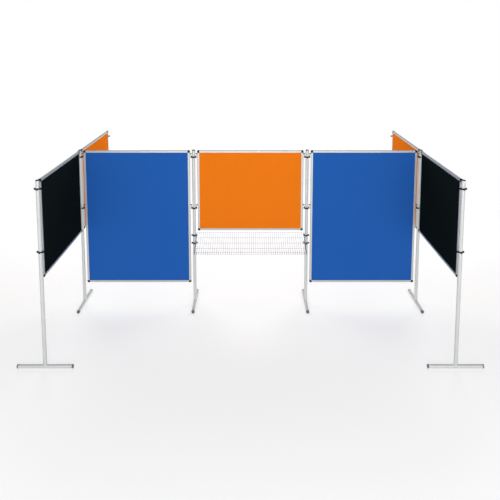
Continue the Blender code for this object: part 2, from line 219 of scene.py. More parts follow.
class Effects:
    """The shader groups that several finishes share."""

    groups: dict[str, bpy.types.NodeTree] = {}
    # How many streaks there are to a drawn line.
    STREAK = 0.12
    # Pointiness between which an edge's wear comes in.
    EDGE_RANGE = (0.52, 0.60)
    # Values of the noise between which the wear grows from its least share to the whole.
    WEAR_RANGE = (0.42, 0.62)
    LEAST_WEAR = 0.2
    # How far in metres the clumps bend the fibres, and the fibres' share of the tint.
    FIBRE_BEND = 0.02
    FIBRE_SHARE = 0.75
    TINT_RANGE = (0.36, 0.64)

    @classmethod
    def group(
        cls, name: str, inputs: dict[str, float], outputs: tuple[str, ...]
    ) -> tuple[Graph, dict[str, Socket], bpy.types.Node]:
        """Starts a shader group with float sockets.

        Args:
            name: The group's name.
            inputs: Default value of each input.
            outputs: Names of the outputs.

        Returns:
            The graph, the input sockets by name and the output node.
        """
        tree = bpy.data.node_groups.new(name, "ShaderNodeTree")
        for key, value in inputs.items():
            socket = tree.interface.new_socket(name=key, in_out="INPUT", socket_type="NodeSocketFloat")
            socket.default_value = value
        for key in outputs:
            tree.interface.new_socket(name=key, in_out="OUTPUT", socket_type="NodeSocketFloat")
        graph = Graph(tree)
        given = graph.add("NodeGroupInput")
        cls.groups[name] = tree
        return graph, {key: given.outputs[key] for key in inputs}, graph.add("NodeGroupOutput")

    @classmethod
    def build(cls) -> None:
        """Builds the four groups."""
        cls.grain()
        cls.drawn_lines()
        cls.edge_wear()
        cls.nap()

    @classmethod
    def grain(cls) -> None:
        """Fine moulded or sprayed texture: a height and a slow smudge mask."""
        graph, given, out = cls.group("surface_grain", {"Scale": 900.0, "Smudge": 6.0}, ("Height", "Smudge"))
        place = graph.add("ShaderNodeTexCoord").outputs["Object"]
        graph.link(graph.noise(place, given["Scale"], detail=3.0, rough=0.6), out.inputs["Height"])
        graph.link(graph.noise(place, given["Smudge"], detail=4.0, rough=0.55), out.inputs["Smudge"])

    @classmethod
    def drawn_lines(cls) -> None:
        """Faint lines along a drawn or extruded length, on the piece's own lay attribute."""
        graph, given, out = cls.group("drawn_lines", {"Along": 2.5, "Across": 1400.0}, ("Height", "Streak"))
        lay = graph.add("ShaderNodeAttribute", attribute_name="lay").outputs["Vector"]
        parts = graph.add("ShaderNodeSeparateXYZ", {0: lay})
        along = graph.maths("MULTIPLY", parts.outputs[0], given["Along"])
        across = graph.maths("MULTIPLY", parts.outputs[1], given["Across"])
        vector = graph.add("ShaderNodeCombineXYZ", {0: along, 1: across, 2: parts.outputs[2]}).outputs[0]
        broader = {0: vector, 1: (1.0, cls.STREAK, 1.0)}
        broad = graph.add("ShaderNodeVectorMath", broader, operation="MULTIPLY").outputs[0]
        graph.link(graph.noise(vector, 1.0), out.inputs["Height"])
        graph.link(graph.noise(broad, 1.0, rough=0.6), out.inputs["Streak"])

    @classmethod
    def edge_wear(cls) -> None:
        """Rubbed edges, broken up by noise."""
        graph, given, out = cls.group("edge_wear", {"Amount": 0.5, "Break Up": 140.0}, ("Mask",))
        place = graph.add("ShaderNodeTexCoord").outputs["Object"]
        pointed = graph.add("ShaderNodeNewGeometry").outputs["Pointiness"]
        edge = graph.ranged(pointed, *cls.EDGE_RANGE, 0.0, 1.0)
        patches = graph.noise(place, given["Break Up"], detail=3.0, rough=0.6)
        patchy = graph.ranged(patches, *cls.WEAR_RANGE, cls.LEAST_WEAR, 1.0)
        worn = graph.maths("MULTIPLY", graph.maths("MULTIPLY", edge, patchy), given["Amount"])
        graph.link(worn, out.inputs["Mask"])

    @classmethod
    def nap(cls) -> None:
        """Short matted fibres of felt: a height and a tint mask."""
        graph, given, out = cls.group("felt_nap", {"Fibre": 700.0, "Mottle": 55.0}, ("Height", "Tint"))
        place = graph.add("ShaderNodeTexCoord").outputs["Object"]
        bent = graph.add("ShaderNodeTexNoise", {"Vector": place, "Scale": given["Mottle"], "Detail": 3.0})
        bend = {0: bent.outputs["Color"], "Scale": cls.FIBRE_BEND}
        warp = graph.add("ShaderNodeVectorMath", bend, operation="SCALE")
        moved = graph.add("ShaderNodeVectorMath", {0: place, 1: warp.outputs[0]}, operation="ADD").outputs[0]
        fibres = graph.noise(moved, given["Fibre"], detail=4.0, rough=0.7)
        clumps = graph.noise(moved, given["Mottle"], detail=4.0, rough=0.6)
        graph.link(graph.maths("ADD", fibres, clumps), out.inputs["Height"])
        fine = graph.maths("MULTIPLY", fibres, cls.FIBRE_SHARE)
        coarse = graph.maths("MULTIPLY", clumps, 1.0 - cls.FIBRE_SHARE)
        both = graph.maths("ADD", fine, coarse)
        graph.link(graph.ranged(both, *cls.TINT_RANGE, 0.0, 1.0), out.inputs["Tint"])


@dataclass(frozen=True)
class Finish:
    """What a surface is made of.

    Args:
        title: The material's name.
        slot: The record's material slot; not used.
        colour: Its linear colour.
        roughness: Its mean roughness.
        metallic: How metallic it is.
        tone: The darkest and the brightest share of the colour.
        rubbed: The share of the colour where it is worn.
        spread: How far the roughness goes below and above its mean.
        relief: Depth in metres of its fine relief, and how much of it shows.
        specular: Its specular level.
    """

    title: str
    slot: str
    colour: Triple
    roughness: float
    metallic: float = 0.0
    tone: Pair = (0.90, 1.10)
    rubbed: float = 1.0
    spread: Pair = (0.05, 0.05)
    relief: Pair = (0.0001, 0.35)
    specular: float = 0.5

    def material(self) -> bpy.types.Material:
        """Builds the finish's material, the first time that it is asked for.

        Returns:
            The material.
        """
        known = bpy.data.materials.get(self.title)
        if known:
            return known
        made = bpy.data.materials.new(self.title)
        made.use_nodes = True
        graph = Graph(made.node_tree)
        plain = {"Metallic": self.metallic, "Roughness": self.roughness, "Specular IOR Level": self.specular}
        shader = graph.add("ShaderNodeBsdfPrincipled", plain)
        graph.add("ShaderNodeOutputMaterial", {"Surface": shader.outputs[0]})
        self.shade(graph, shader)
        return made

    def shade(self, graph: Graph, shader: bpy.types.Node) -> None:
        """Fills the shader's colour, roughness and relief.

        Args:
            graph: The material's graph.
            shader: Its Principled BSDF.
        """
        raise NotImplementedError

    def effect(self, graph: Graph, name: str, **values: float) -> bpy.types.NodeOutputs:
        """Places a shared effect in the material.

        Args:
            graph: The material's graph.
            name: The effect's name.
            values: The group's inputs, with underscores for spaces.

        Returns:
            The group node's outputs.
        """
        node = graph.add("ShaderNodeGroup", node_tree=Effects.groups[name])
        for key, value in values.items():
            node.inputs[key.replace("_", " ")].default_value = value
        return node.outputs

    def tint(self, graph: Graph, shader: bpy.types.Node, mask: Socket, worn: Socket | None = None) -> None:
        """Links a base colour that varies between the finish's tones.

        Args:
            graph: The material's graph.
            shader: Its Principled BSDF.
            mask: Where the colour is brighter.
            worn: Where it is rubbed.
        """
        low, high = self.tone
        colour = graph.mixed(mask, toned(self.colour, low), toned(self.colour, high))
        if worn is not None:
            colour = graph.mixed(worn, colour, toned(self.colour, self.rubbed))
        graph.link(colour, shader.inputs["Base Color"])

    def roughened(self, graph: Graph, mask: Socket) -> Socket:
        """The roughness, higher where a noise mask is high."""
        below, above = self.spread
        return graph.ranged(mask, *NOISE_RANGE, self.roughness - below, self.roughness + above)

    def bumped(self, graph: Graph, shader: bpy.types.Node, height: Socket) -> None:
        """Links a height to the shader's normal through a Bump node.

        Args:
            graph: The material's graph.
            shader: Its Principled BSDF.
            height: The height's socket.
        """
        depth, strength = self.relief
        bump = graph.add("ShaderNodeBump", {"Strength": strength, "Distance": depth, "Height": height})
        graph.link(bump.outputs[0], shader.inputs["Normal"])


@dataclass(frozen=True)
class PowderCoat(Finish):
    """Satin silver-grey coat with a fine orange peel and rubbed places."""

    tone: Pair = (0.93, 1.05)
    rubbed: float = 1.25
    spread: Pair = (0.05, 0.06)
    relief: Pair = (0.00008, 0.35)

    def shade(self, graph: Graph, shader: bpy.types.Node) -> None:
        """Adds the peel, smudges and edge wear.

        Args:
            graph: The material's graph.
            shader: Its Principled BSDF.
        """
        grain = self.effect(graph, "surface_grain", Scale=1500.0, Smudge=5.0)
        wear = self.effect(graph, "edge_wear", Amount=0.35)
        self.tint(graph, shader, grain["Smudge"], wear["Mask"])
        graph.link(self.roughened(graph, grain["Smudge"]), shader.inputs["Roughness"])
        self.bumped(graph, shader, grain["Height"])


@dataclass(frozen=True)
class Anodised(Finish):
    """Satin anodised extrusion with faint lines along its length.

    Args:
        smear: How much rougher a smudge is.
        smear_range: Values of the noise between which a smudge grows.
    """

    tone: Pair = (0.94, 1.04)
    rubbed: float = 1.12
    spread: Pair = (0.04, 0.05)
    relief: Pair = (0.00005, 0.35)
    smear: float = 0.06
    smear_range: Pair = (0.45, 0.75)

    def shade(self, graph: Graph, shader: bpy.types.Node) -> None:
        """Adds the drawn lines, smudges and edge wear.

        Args:
            graph: The material's graph.
            shader: Its Principled BSDF.
        """
        lines = self.effect(graph, "drawn_lines")
        grain = self.effect(graph, "surface_grain", Scale=2200.0, Smudge=7.0)
        wear = self.effect(graph, "edge_wear", Amount=0.3)
        self.tint(graph, shader, lines["Streak"], wear["Mask"])
        smudge = graph.ranged(grain["Smudge"], *self.smear_range, 0.0, self.smear)
        rough = graph.maths("ADD", self.roughened(graph, lines["Streak"]), smudge)
        graph.link(rough, shader.inputs["Roughness"])
        self.bumped(graph, shader, lines["Height"])


@dataclass(frozen=True)
class MouldedPlastic(Finish):
    """Fine-grained black plastic, lighter where it is rubbed."""

    tone: Pair = (0.85, 1.2)
    rubbed: float = 3.0
    spread: Pair = (0.07, 0.08)
    relief: Pair = (0.0001, 0.5)
    specular: float = 0.16

    def shade(self, graph: Graph, shader: bpy.types.Node) -> None:
        """Adds the grain, smudges and rubbed edges.

        Args:
            graph: The material's graph.
            shader: Its Principled BSDF.
        """
        grain = self.effect(graph, "surface_grain", Scale=1800.0, Smudge=30.0)
        wear = self.effect(graph, "edge_wear", Amount=0.5)
        self.tint(graph, shader, grain["Smudge"], wear["Mask"])
        graph.link(self.roughened(graph, grain["Smudge"]), shader.inputs["Roughness"])
        self.bumped(graph, shader, grain["Height"])


@dataclass(frozen=True)
class Felt(Finish):
    """Short-napped felt, glued flat on a board.

    Args:
        sheen: Weight of the nap's sheen.
        sheen_roughness: How wide the sheen spreads.
    """

    tone: Pair = (0.90, 1.10)
    relief: Pair = (0.0004, 0.45)
    specular: float = 0.0
    sheen: float = 0.003
    sheen_roughness: float = 0.6

    def shade(self, graph: Graph, shader: bpy.types.Node) -> None:
        """Adds the nap's relief, mottled colour and a little sheen.

        Args:
            graph: The material's graph.
            shader: Its Principled BSDF.
        """
        nap = self.effect(graph, "felt_nap", Fibre=620.0, Mottle=120.0)
        self.tint(graph, shader, nap["Tint"])
        shader.inputs["Sheen Weight"].default_value = self.sheen
        shader.inputs["Sheen Roughness"].default_value = self.sheen_roughness
        self.bumped(graph, shader, nap["Height"])


@dataclass(frozen=True)
class PlatedWire(Finish):
    """Bright plated wire with a slightly uneven plating."""

    tone: Pair = (0.92, 1.06)
    spread: Pair = (0.05, 0.07)
    relief: Pair = (0.00004, 0.25)

    def shade(self, graph: Graph, shader: bpy.types.Node) -> None:
        """Adds the plating's cloudiness.

        Args:
            graph: The material's graph.
            shader: Its Principled BSDF.
        """
        grain = self.effect(graph, "surface_grain", Scale=700.0, Smudge=25.0)
        self.tint(graph, shader, grain["Smudge"])
        graph.link(self.roughened(graph, grain["Smudge"]), shader.inputs["Roughness"])
        self.bumped(graph, shader, grain["Height"])


POST_COAT = PowderCoat("silver_grey_powder_coat", "post_powder_coat", (0.63, 0.65, 0.635), 0.38, 0.30)
RAIL_METAL = Anodised("aluminium_rail", "aluminium", (0.556, 0.568, 0.563), 0.40, 0.45)
BLACK_PLASTIC = MouldedPlastic("black_moulding", "black_plastic", (0.013, 0.018, 0.020), 0.62)
PLUG_PLASTIC = MouldedPlastic("grey_black_plug", "black_plastic", (0.145, 0.155, 0.152), 0.55)
RACK_METAL = PlatedWire("plated_wire", "rack_wire", (0.32, 0.375, 0.45), 0.40, 0.55)
PIN_STEEL = PlatedWire("pin_steel", "rack_wire", (0.62, 0.63, 0.64), 0.26, 1.0)
BLUE_FELT = Felt("blue_napped_felt", "blue_felt", FeltColour.BLUE.value, 0.95)
ORANGE_FELT = Felt("orange_napped_felt", "orange_felt", FeltColour.ORANGE.value, 0.95)
BLACK_FELT = Felt("black_napped_felt", "black_felt", FeltColour.BLACK.value, 0.95)


def arc(centre: Pair, radii: Pair, start: float, end: float, steps: int) -> Profile:
    """Points of an elliptic arc.

    Args:
        centre: The ellipse's centre.
        radii: Its two radii.
        start: First angle in degrees.
        end: Last angle in degrees.
        steps: Number of steps.

    Returns:
        The points, both ends among them.
    """
    angles = [math.radians(start + (end - start) * i / steps) for i in range(steps + 1)]
    return [(centre[0] + radii[0] * math.cos(a), centre[1] + radii[1] * math.sin(a)) for a in angles]


def circle(centre: Pair, radius: float, sides: int) -> Profile:
    """Points of a circle, each once."""
    return arc(centre, (radius, radius), 0.0, 360.0 - 360.0 / sides, sides - 1)


def rounded_path(corners: list[Vector], radius: float, steps: int) -> list[Vector]:
    """A path whose inner corners are arcs.

    Args:
        corners: The corner points in order.
        radius: The arcs' radius.
        steps: Steps to an arc.

    Returns:
        The path's points.
    """
    path = [corners[0]]
    for before, corner, after in zip(corners, corners[1:], corners[2:]):
        back, ahead = (before - corner).normalized(), (after - corner).normalized()
        half_angle = back.angle(ahead) / 2
        centre = corner + (back + ahead).normalized() * (radius / math.sin(half_angle))
        tangent = radius / math.tan(half_angle)
        start, end = corner + back * tangent - centre, corner + ahead * tangent - centre
        axis, sweep = start.cross(end).normalized(), start.angle(end)
        path += [centre + Matrix.Rotation(sweep * i / steps, 3, axis) @ start for i in range(steps + 1)]
    return [*path, corners[-1]]


@dataclass
class Shape:
    """Vertices and faces that grow into one mesh, with the lay attribute of drawn pieces."""

    points: list[Vector] = field(default_factory=list)
    faces: list[tuple[int, ...]] = field(default_factory=list)
    lay: list[Vector] = field(default_factory=list)

    def add(
        self, points: list[Vector], faces: list[tuple[int, ...]], lay: list[Vector] | None = None
    ) -> None:
        """Adds a shell.

        Args:
            points: Its vertices.
            faces: Its faces, numbered from its first vertex.
            lay: Distance along and around a drawn length for each vertex.
        """
        first = len(self.points)
        self.points += points
        self.faces += [tuple(first + i for i in face) for face in faces]
        self.lay += lay or [Vector() for _ in points]

    def rings(self, rings: list[list[Vector]], closed: bool = False, capped: bool = True) -> None:
        """Adds a skin over rings of points. A ring of one point is a pole.

        Args:
            rings: The rings in order.
            closed: Whether the last ring meets the first.
            capped: Whether open ends get a flat face.
        """
        points, starts, lay, faces = [], [], [], []
        run = 0.0
        for number, ring in enumerate(rings):
            if number:
                run += (ring[0] - rings[number - 1][0]).length
            starts.append(len(points))
            points += ring
            around = 0.0
            for i, point in enumerate(ring):
                around += (point - ring[i - 1]).length if i else 0.0
                lay.append(Vector((run, around, len(self.points) / LAY_STEP)))
        pairs = list(zip(range(len(rings)), range(1, len(rings))))
        if closed:
            pairs.append((len(rings) - 1, 0))
        for a, b in pairs:
            sides = max(len(rings[a]), len(rings[b]))
            for i in range(sides):
                spots = ((a, i), (a, i + 1), (b, i + 1), (b, i))
                corners = [starts[ring] + spot % len(rings[ring]) for ring, spot in spots]
                faces.append(tuple(dict.fromkeys(corners)))
        if capped and not closed:
            for number in (0, len(rings) - 1):
                if len(rings[number]) > 1:
                    faces.append(tuple(starts[number] + i for i in range(len(rings[number]))))
        self.add(points, faces, lay)

    def lathe(
        self, profile: Profile, sides: int, place: Matrix, closed: bool = False, floor: float | None = None
    ) -> None:
        """Adds a turned shape.

        Args:
            profile: Radius and height of each point.
            sides: Number of sides.
            place: Where the turning axis, local Z, goes.
            closed: Whether the profile is a closed loop.
            floor: A height that the shape is flattened on.
        """
        rings = []
        for radius, height in profile:
            count = sides if radius > 0 else 1
            ring = []
            for i in range(count):
                angle = math.tau * i / sides
                point = place @ Vector((radius * math.cos(angle), radius * math.sin(angle), height))
                if floor is not None:
                    point.z = max(point.z, floor)
                ring.append(point)
            rings.append(ring)
        self.rings(rings, closed=closed)

    def tube(self, path: list[Vector], radius: float, sides: int, blunt: float = 0.4) -> None:
        """Adds a round wire along a path, with softened ends.

        Args:
            path: The path's points.
            radius: The wire's radius.
            sides: Number of sides.
            blunt: Share of the radius that the ends are rounded by.
        """
        ahead = (path[1] - path[0]).normalized()
        side = ahead.orthogonal().normalized()
        rings = []
        last = len(path) - 1
        for i, point in enumerate(path):
            turn = (path[min(i + 1, last)] - path[max(i - 1, 0)]).normalized()
            side = (side - turn * side.dot(turn)).normalized()
            other = turn.cross(side)
            spots = [(0.0, 1.0)]
            if i == 0:
                spots = [(0.0, 1.0 - blunt), (blunt, 1.0)]
            elif i == last:
                spots = [(-blunt, 1.0), (0.0, 1.0 - blunt)]
            for push, size in spots:
                centre = point + turn * (radius * push)
                ring = []
                for k in range(sides):
                    angle = math.tau * k / sides
                    ring.append(centre + (side * math.cos(angle) + other * math.sin(angle)) * (radius * size))
                rings.append(ring)
        self.rings(rings)

    def run(self, profile: Profile, start: Vector, end: Vector, inward: Vector, face: Vector) -> None:
        """Adds a straight extrusion.

        Args:
            profile: Its section: distance inwards from its outer edge, and height towards its face.
            start: Where its outer edge starts.
            end: Where it ends.
            inward: Unit vector from its outer edge to its inner one.
            face: Unit vector out of its face.
        """
        self.rings([[place + inward * d + face * t for d, t in profile] for place in (start, end)])

    def mesh(self, name: str, sharp: float = SHARP) -> bpy.types.Mesh:
        """The finished mesh, welded and facing out.

        Args:
            name: The mesh's name.
            sharp: The angle in degrees from which an edge stays sharp.

        Returns:
            The mesh.
        """
        made = bpy.data.meshes.new(name)
        made.from_pydata(self.points, [], self.faces)
        lay = made.attributes.new("lay", "FLOAT_VECTOR", "POINT")
        lay.data.foreach_set("vector", [value for item in self.lay for value in item])
        clean(made, sharp)
        return made


def clean(mesh: bpy.types.Mesh, sharp: float) -> None:
    """Welds a mesh, turns its faces outwards and smooths it.

    Args:
        mesh: The mesh.
        sharp: The angle in degrees from which an edge stays sharp.
    """
    body = bmesh.new()
    body.from_mesh(mesh)
    bmesh.ops.remove_doubles(body, verts=body.verts, dist=WELD)
    bmesh.ops.recalc_face_normals(body, faces=body.faces)
    body.to_mesh(mesh)
    body.free()
    mesh.shade_smooth()
    mesh.set_sharp_from_angle(angle=math.radians(sharp))


def plate(outlines: list[Profile], thickness: float, edge: float, steps: int = 2) -> bpy.types.Mesh:
    """A flat plate about z = 0 with rounded edges.

    Args:
        outlines: Its outline and the holes in it.
        thickness: Its thickness.
        edge: The radius of its edges.
        steps: Steps to an edge.

    Returns:
        The plate's mesh.
    """
    curve = bpy.data.curves.new("plate", "CURVE")
    curve.dimensions = "2D"
    curve.fill_mode = "BOTH"
    curve.extrude = thickness / 2 - edge
    curve.bevel_depth = edge
    curve.bevel_resolution = steps
    curve.offset = -edge
    for outline in outlines:
        spline = curve.splines.new("POLY")
        spline.points.add(len(outline) - 1)
        spline.use_cyclic_u = True
        for point, (x, y) in zip(spline.points, outline):
            point.co = (x, y, 0.0, 1.0)
    holder = bpy.data.objects.new("plate", curve)
    bpy.context.scene.collection.objects.link(holder)
    return baked(holder)


def baked(holder: bpy.types.Object) -> bpy.types.Mesh:
    """The evaluated mesh of a working object, which is removed with its data.

    Args:
        holder: The working object.

    Returns:
        A plain mesh.
    """
    bpy.context.view_layer.update()
    graph = bpy.context.evaluated_depsgraph_get()
    mesh = bpy.data.meshes.new_from_object(holder.evaluated_get(graph))
    bpy.data.objects.remove(holder, do_unlink=True)
    return mesh


def dressed(name: str, mesh: bpy.types.Mesh, finish: Finish, body: str, *nodes: str) -> bpy.types.Object:
    """Makes a piece of the wall from a mesh in its place.

    Args:
        name: The piece's name.
        mesh: Its mesh, in world coordinates.
        finish: What it is made of.
        body: The CAD body that it rides on.
        nodes: The CAD nodes that it stands for.

    Returns:
        The piece.
    """
    piece = bpy.data.objects.new(name, mesh)
    bpy.context.scene.collection.objects.link(piece)
    mesh.materials.clear()
    mesh.materials.append(finish.material())
    mesh.polygons.foreach_set("material_index", [0] * len(mesh.polygons))
    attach(piece, body)
    if nodes:
        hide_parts(*nodes)
    log.info("%s: %d faces on %s", name, len(mesh.polygons), body)
    return piece


class Repeats:
    """Geometry Nodes trees for what repeats."""

    trees: dict[str, bpy.types.NodeTree] = {}
    WIRE_SIDES = 8

    @classmethod
    def start(cls, name: str, inputs: dict[str, str]) -> tuple[Graph, bpy.types.Node, bpy.types.Node]:
        """Starts a tree with a geometry in and out.

        Args:
            name: The tree's name.
            inputs: Socket type of each further input.

        Returns:
            The graph, the input node and the output node.
        """
        tree = bpy.data.node_groups.new(name, "GeometryNodeTree")
        tree.interface.new_socket(name="Geometry", in_out="INPUT", socket_type="NodeSocketGeometry")
        for key, kind in inputs.items():
            tree.interface.new_socket(name=key, in_out="INPUT", socket_type=kind)
        tree.interface.new_socket(name="Geometry", in_out="OUTPUT", socket_type="NodeSocketGeometry")
        graph = Graph(tree)
        cls.trees[name] = tree
        return graph, graph.add("NodeGroupInput"), graph.add("NodeGroupOutput")

    @classmethod
    def build(cls) -> None:
        """Builds the two trees."""
        cls.copies()
        cls.wire_grid()

    @classmethod
    def copies(cls) -> None:
        """Copies of a template at points, each turned by the points' turn attribute."""
        inputs = {"Template": "NodeSocketObject", "Finish": "NodeSocketMaterial"}
        graph, given, out = cls.start("copies_at_points", inputs)
        template = graph.add("GeometryNodeObjectInfo", {"Object": given.outputs["Template"]})
        turn = graph.add("GeometryNodeInputNamedAttribute", {"Name": "turn"}, data_type="FLOAT_VECTOR")
        rotation = graph.add("FunctionNodeEulerToRotation", {0: turn.outputs[0]})
        copy = {"Instance": template.outputs["Geometry"], "Rotation": rotation.outputs[0]}
        placed = graph.add("GeometryNodeInstanceOnPoints", {"Points": given.outputs["Geometry"], **copy})
        real = graph.add("GeometryNodeRealizeInstances", {0: placed.outputs[0]})
        finish = {"Geometry": real.outputs[0], "Material": given.outputs["Finish"]}
        graph.link(graph.add("GeometryNodeSetMaterial", finish).outputs[0], out.inputs[0])

    @classmethod
    def wire_grid(cls) -> None:
        """Round wires with one bent path, side by side along X, which spread towards the front."""
        inputs = {
            "Count": "NodeSocketInt",
            "Half Width": "NodeSocketFloat",
            "Radius": "NodeSocketFloat",
            "Spread": "NodeSocketFloat",
            "Back": "NodeSocketFloat",
            "Finish": "NodeSocketMaterial",
        }
        graph, given, out = cls.start("wire_grid", inputs)
        path = graph.add("GeometryNodeMeshToCurve", {0: given.outputs["Geometry"]})
        round_wire = {"Resolution": cls.WIRE_SIDES, "Radius": given.outputs["Radius"]}
        section = graph.add("GeometryNodeCurvePrimitiveCircle", round_wire)
        swept = {0: path.outputs[0], 1: section.outputs[0], "Fill Caps": True}
        wire = graph.add("GeometryNodeCurveToMesh", swept)
        left = graph.maths("MULTIPLY", given.outputs["Half Width"], -1.0)
        start = graph.add("ShaderNodeCombineXYZ", {0: left}).outputs[0]
        end = graph.add("ShaderNodeCombineXYZ", {0: given.outputs["Half Width"]}).outputs[0]
        row = {"Count": given.outputs["Count"], "Start Location": start, "Offset": end}
        line = graph.add("GeometryNodeMeshLine", row, mode="END_POINTS")
        copy = {"Points": line.outputs[0], "Instance": wire.outputs[0]}
        placed = graph.add("GeometryNodeInstanceOnPoints", copy)
        real = graph.add("GeometryNodeRealizeInstances", {0: placed.outputs[0]})
        place = graph.add("ShaderNodeSeparateXYZ", {0: graph.add("GeometryNodeInputPosition").outputs[0]})
        ahead = graph.maths("SUBTRACT", given.outputs["Back"], place.outputs[1])
        share = graph.maths("MULTIPLY", ahead, given.outputs["Spread"])
        shift = graph.add("ShaderNodeCombineXYZ", {0: graph.maths("MULTIPLY", share, place.outputs[0])})
        fanned = {"Geometry": real.outputs[0], "Offset": shift.outputs[0]}
        moved = graph.add("GeometryNodeSetPosition", fanned)
        smooth = graph.add("GeometryNodeSetShadeSmooth", {0: moved.outputs[0]})
        finish = {"Geometry": smooth.outputs[0], "Material": given.outputs["Finish"]}
        graph.link(graph.add("GeometryNodeSetMaterial", finish).outputs[0], out.inputs[0])

    @classmethod
    def made(cls, tree: str, host: bpy.types.Mesh, **inputs: object) -> bpy.types.Mesh:
        """Runs a tree on a mesh.

        Args:
            tree: The tree's name.
            host: The mesh that it starts from.
            inputs: Its named inputs, with underscores for spaces.

        Returns:
            The result as a plain mesh.
        """
        holder = bpy.data.objects.new(tree, host)
        bpy.context.scene.collection.objects.link(holder)
        modifier = holder.modifiers.new(tree, "NODES")
        modifier.node_group = cls.trees[tree]
        items = cls.trees[tree].interface.items_tree
        sockets = {item.name: item.identifier for item in items if item.in_out == "INPUT"}
        for key, value in inputs.items():
            modifier[sockets[key.replace("_", " ")]] = value
        mesh = baked(holder)
        bpy.data.meshes.remove(host)
        return mesh

    @classmethod
    def copied(cls, template: bpy.types.Mesh, spots: list[Spot], finish: Finish) -> bpy.types.Mesh:
        """Copies of a template in one mesh.

        Args:
            template: The template's mesh.
            spots: Place and Euler turn of each copy.
            finish: What they are made of.

        Returns:
            The copies.
        """
        source = bpy.data.objects.new("template", template)
        bpy.context.scene.collection.objects.link(source)
        host = bpy.data.meshes.new("spots")
        host.from_pydata([place for place, _ in spots], [], [])
        turns = host.attributes.new("turn", "FLOAT_VECTOR", "POINT")
        turns.data.foreach_set("vector", [value for _, turn in spots for value in turn])
        mesh = cls.made("copies_at_points", host, Template=source, Finish=finish.material())
        bpy.data.objects.remove(source, do_unlink=True)
        bpy.data.meshes.remove(template)
        return mesh


def middle(node: str) -> Vector:
    """The centre of a CAD node's box."""
    low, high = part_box(node)
    return (low + high) / 2


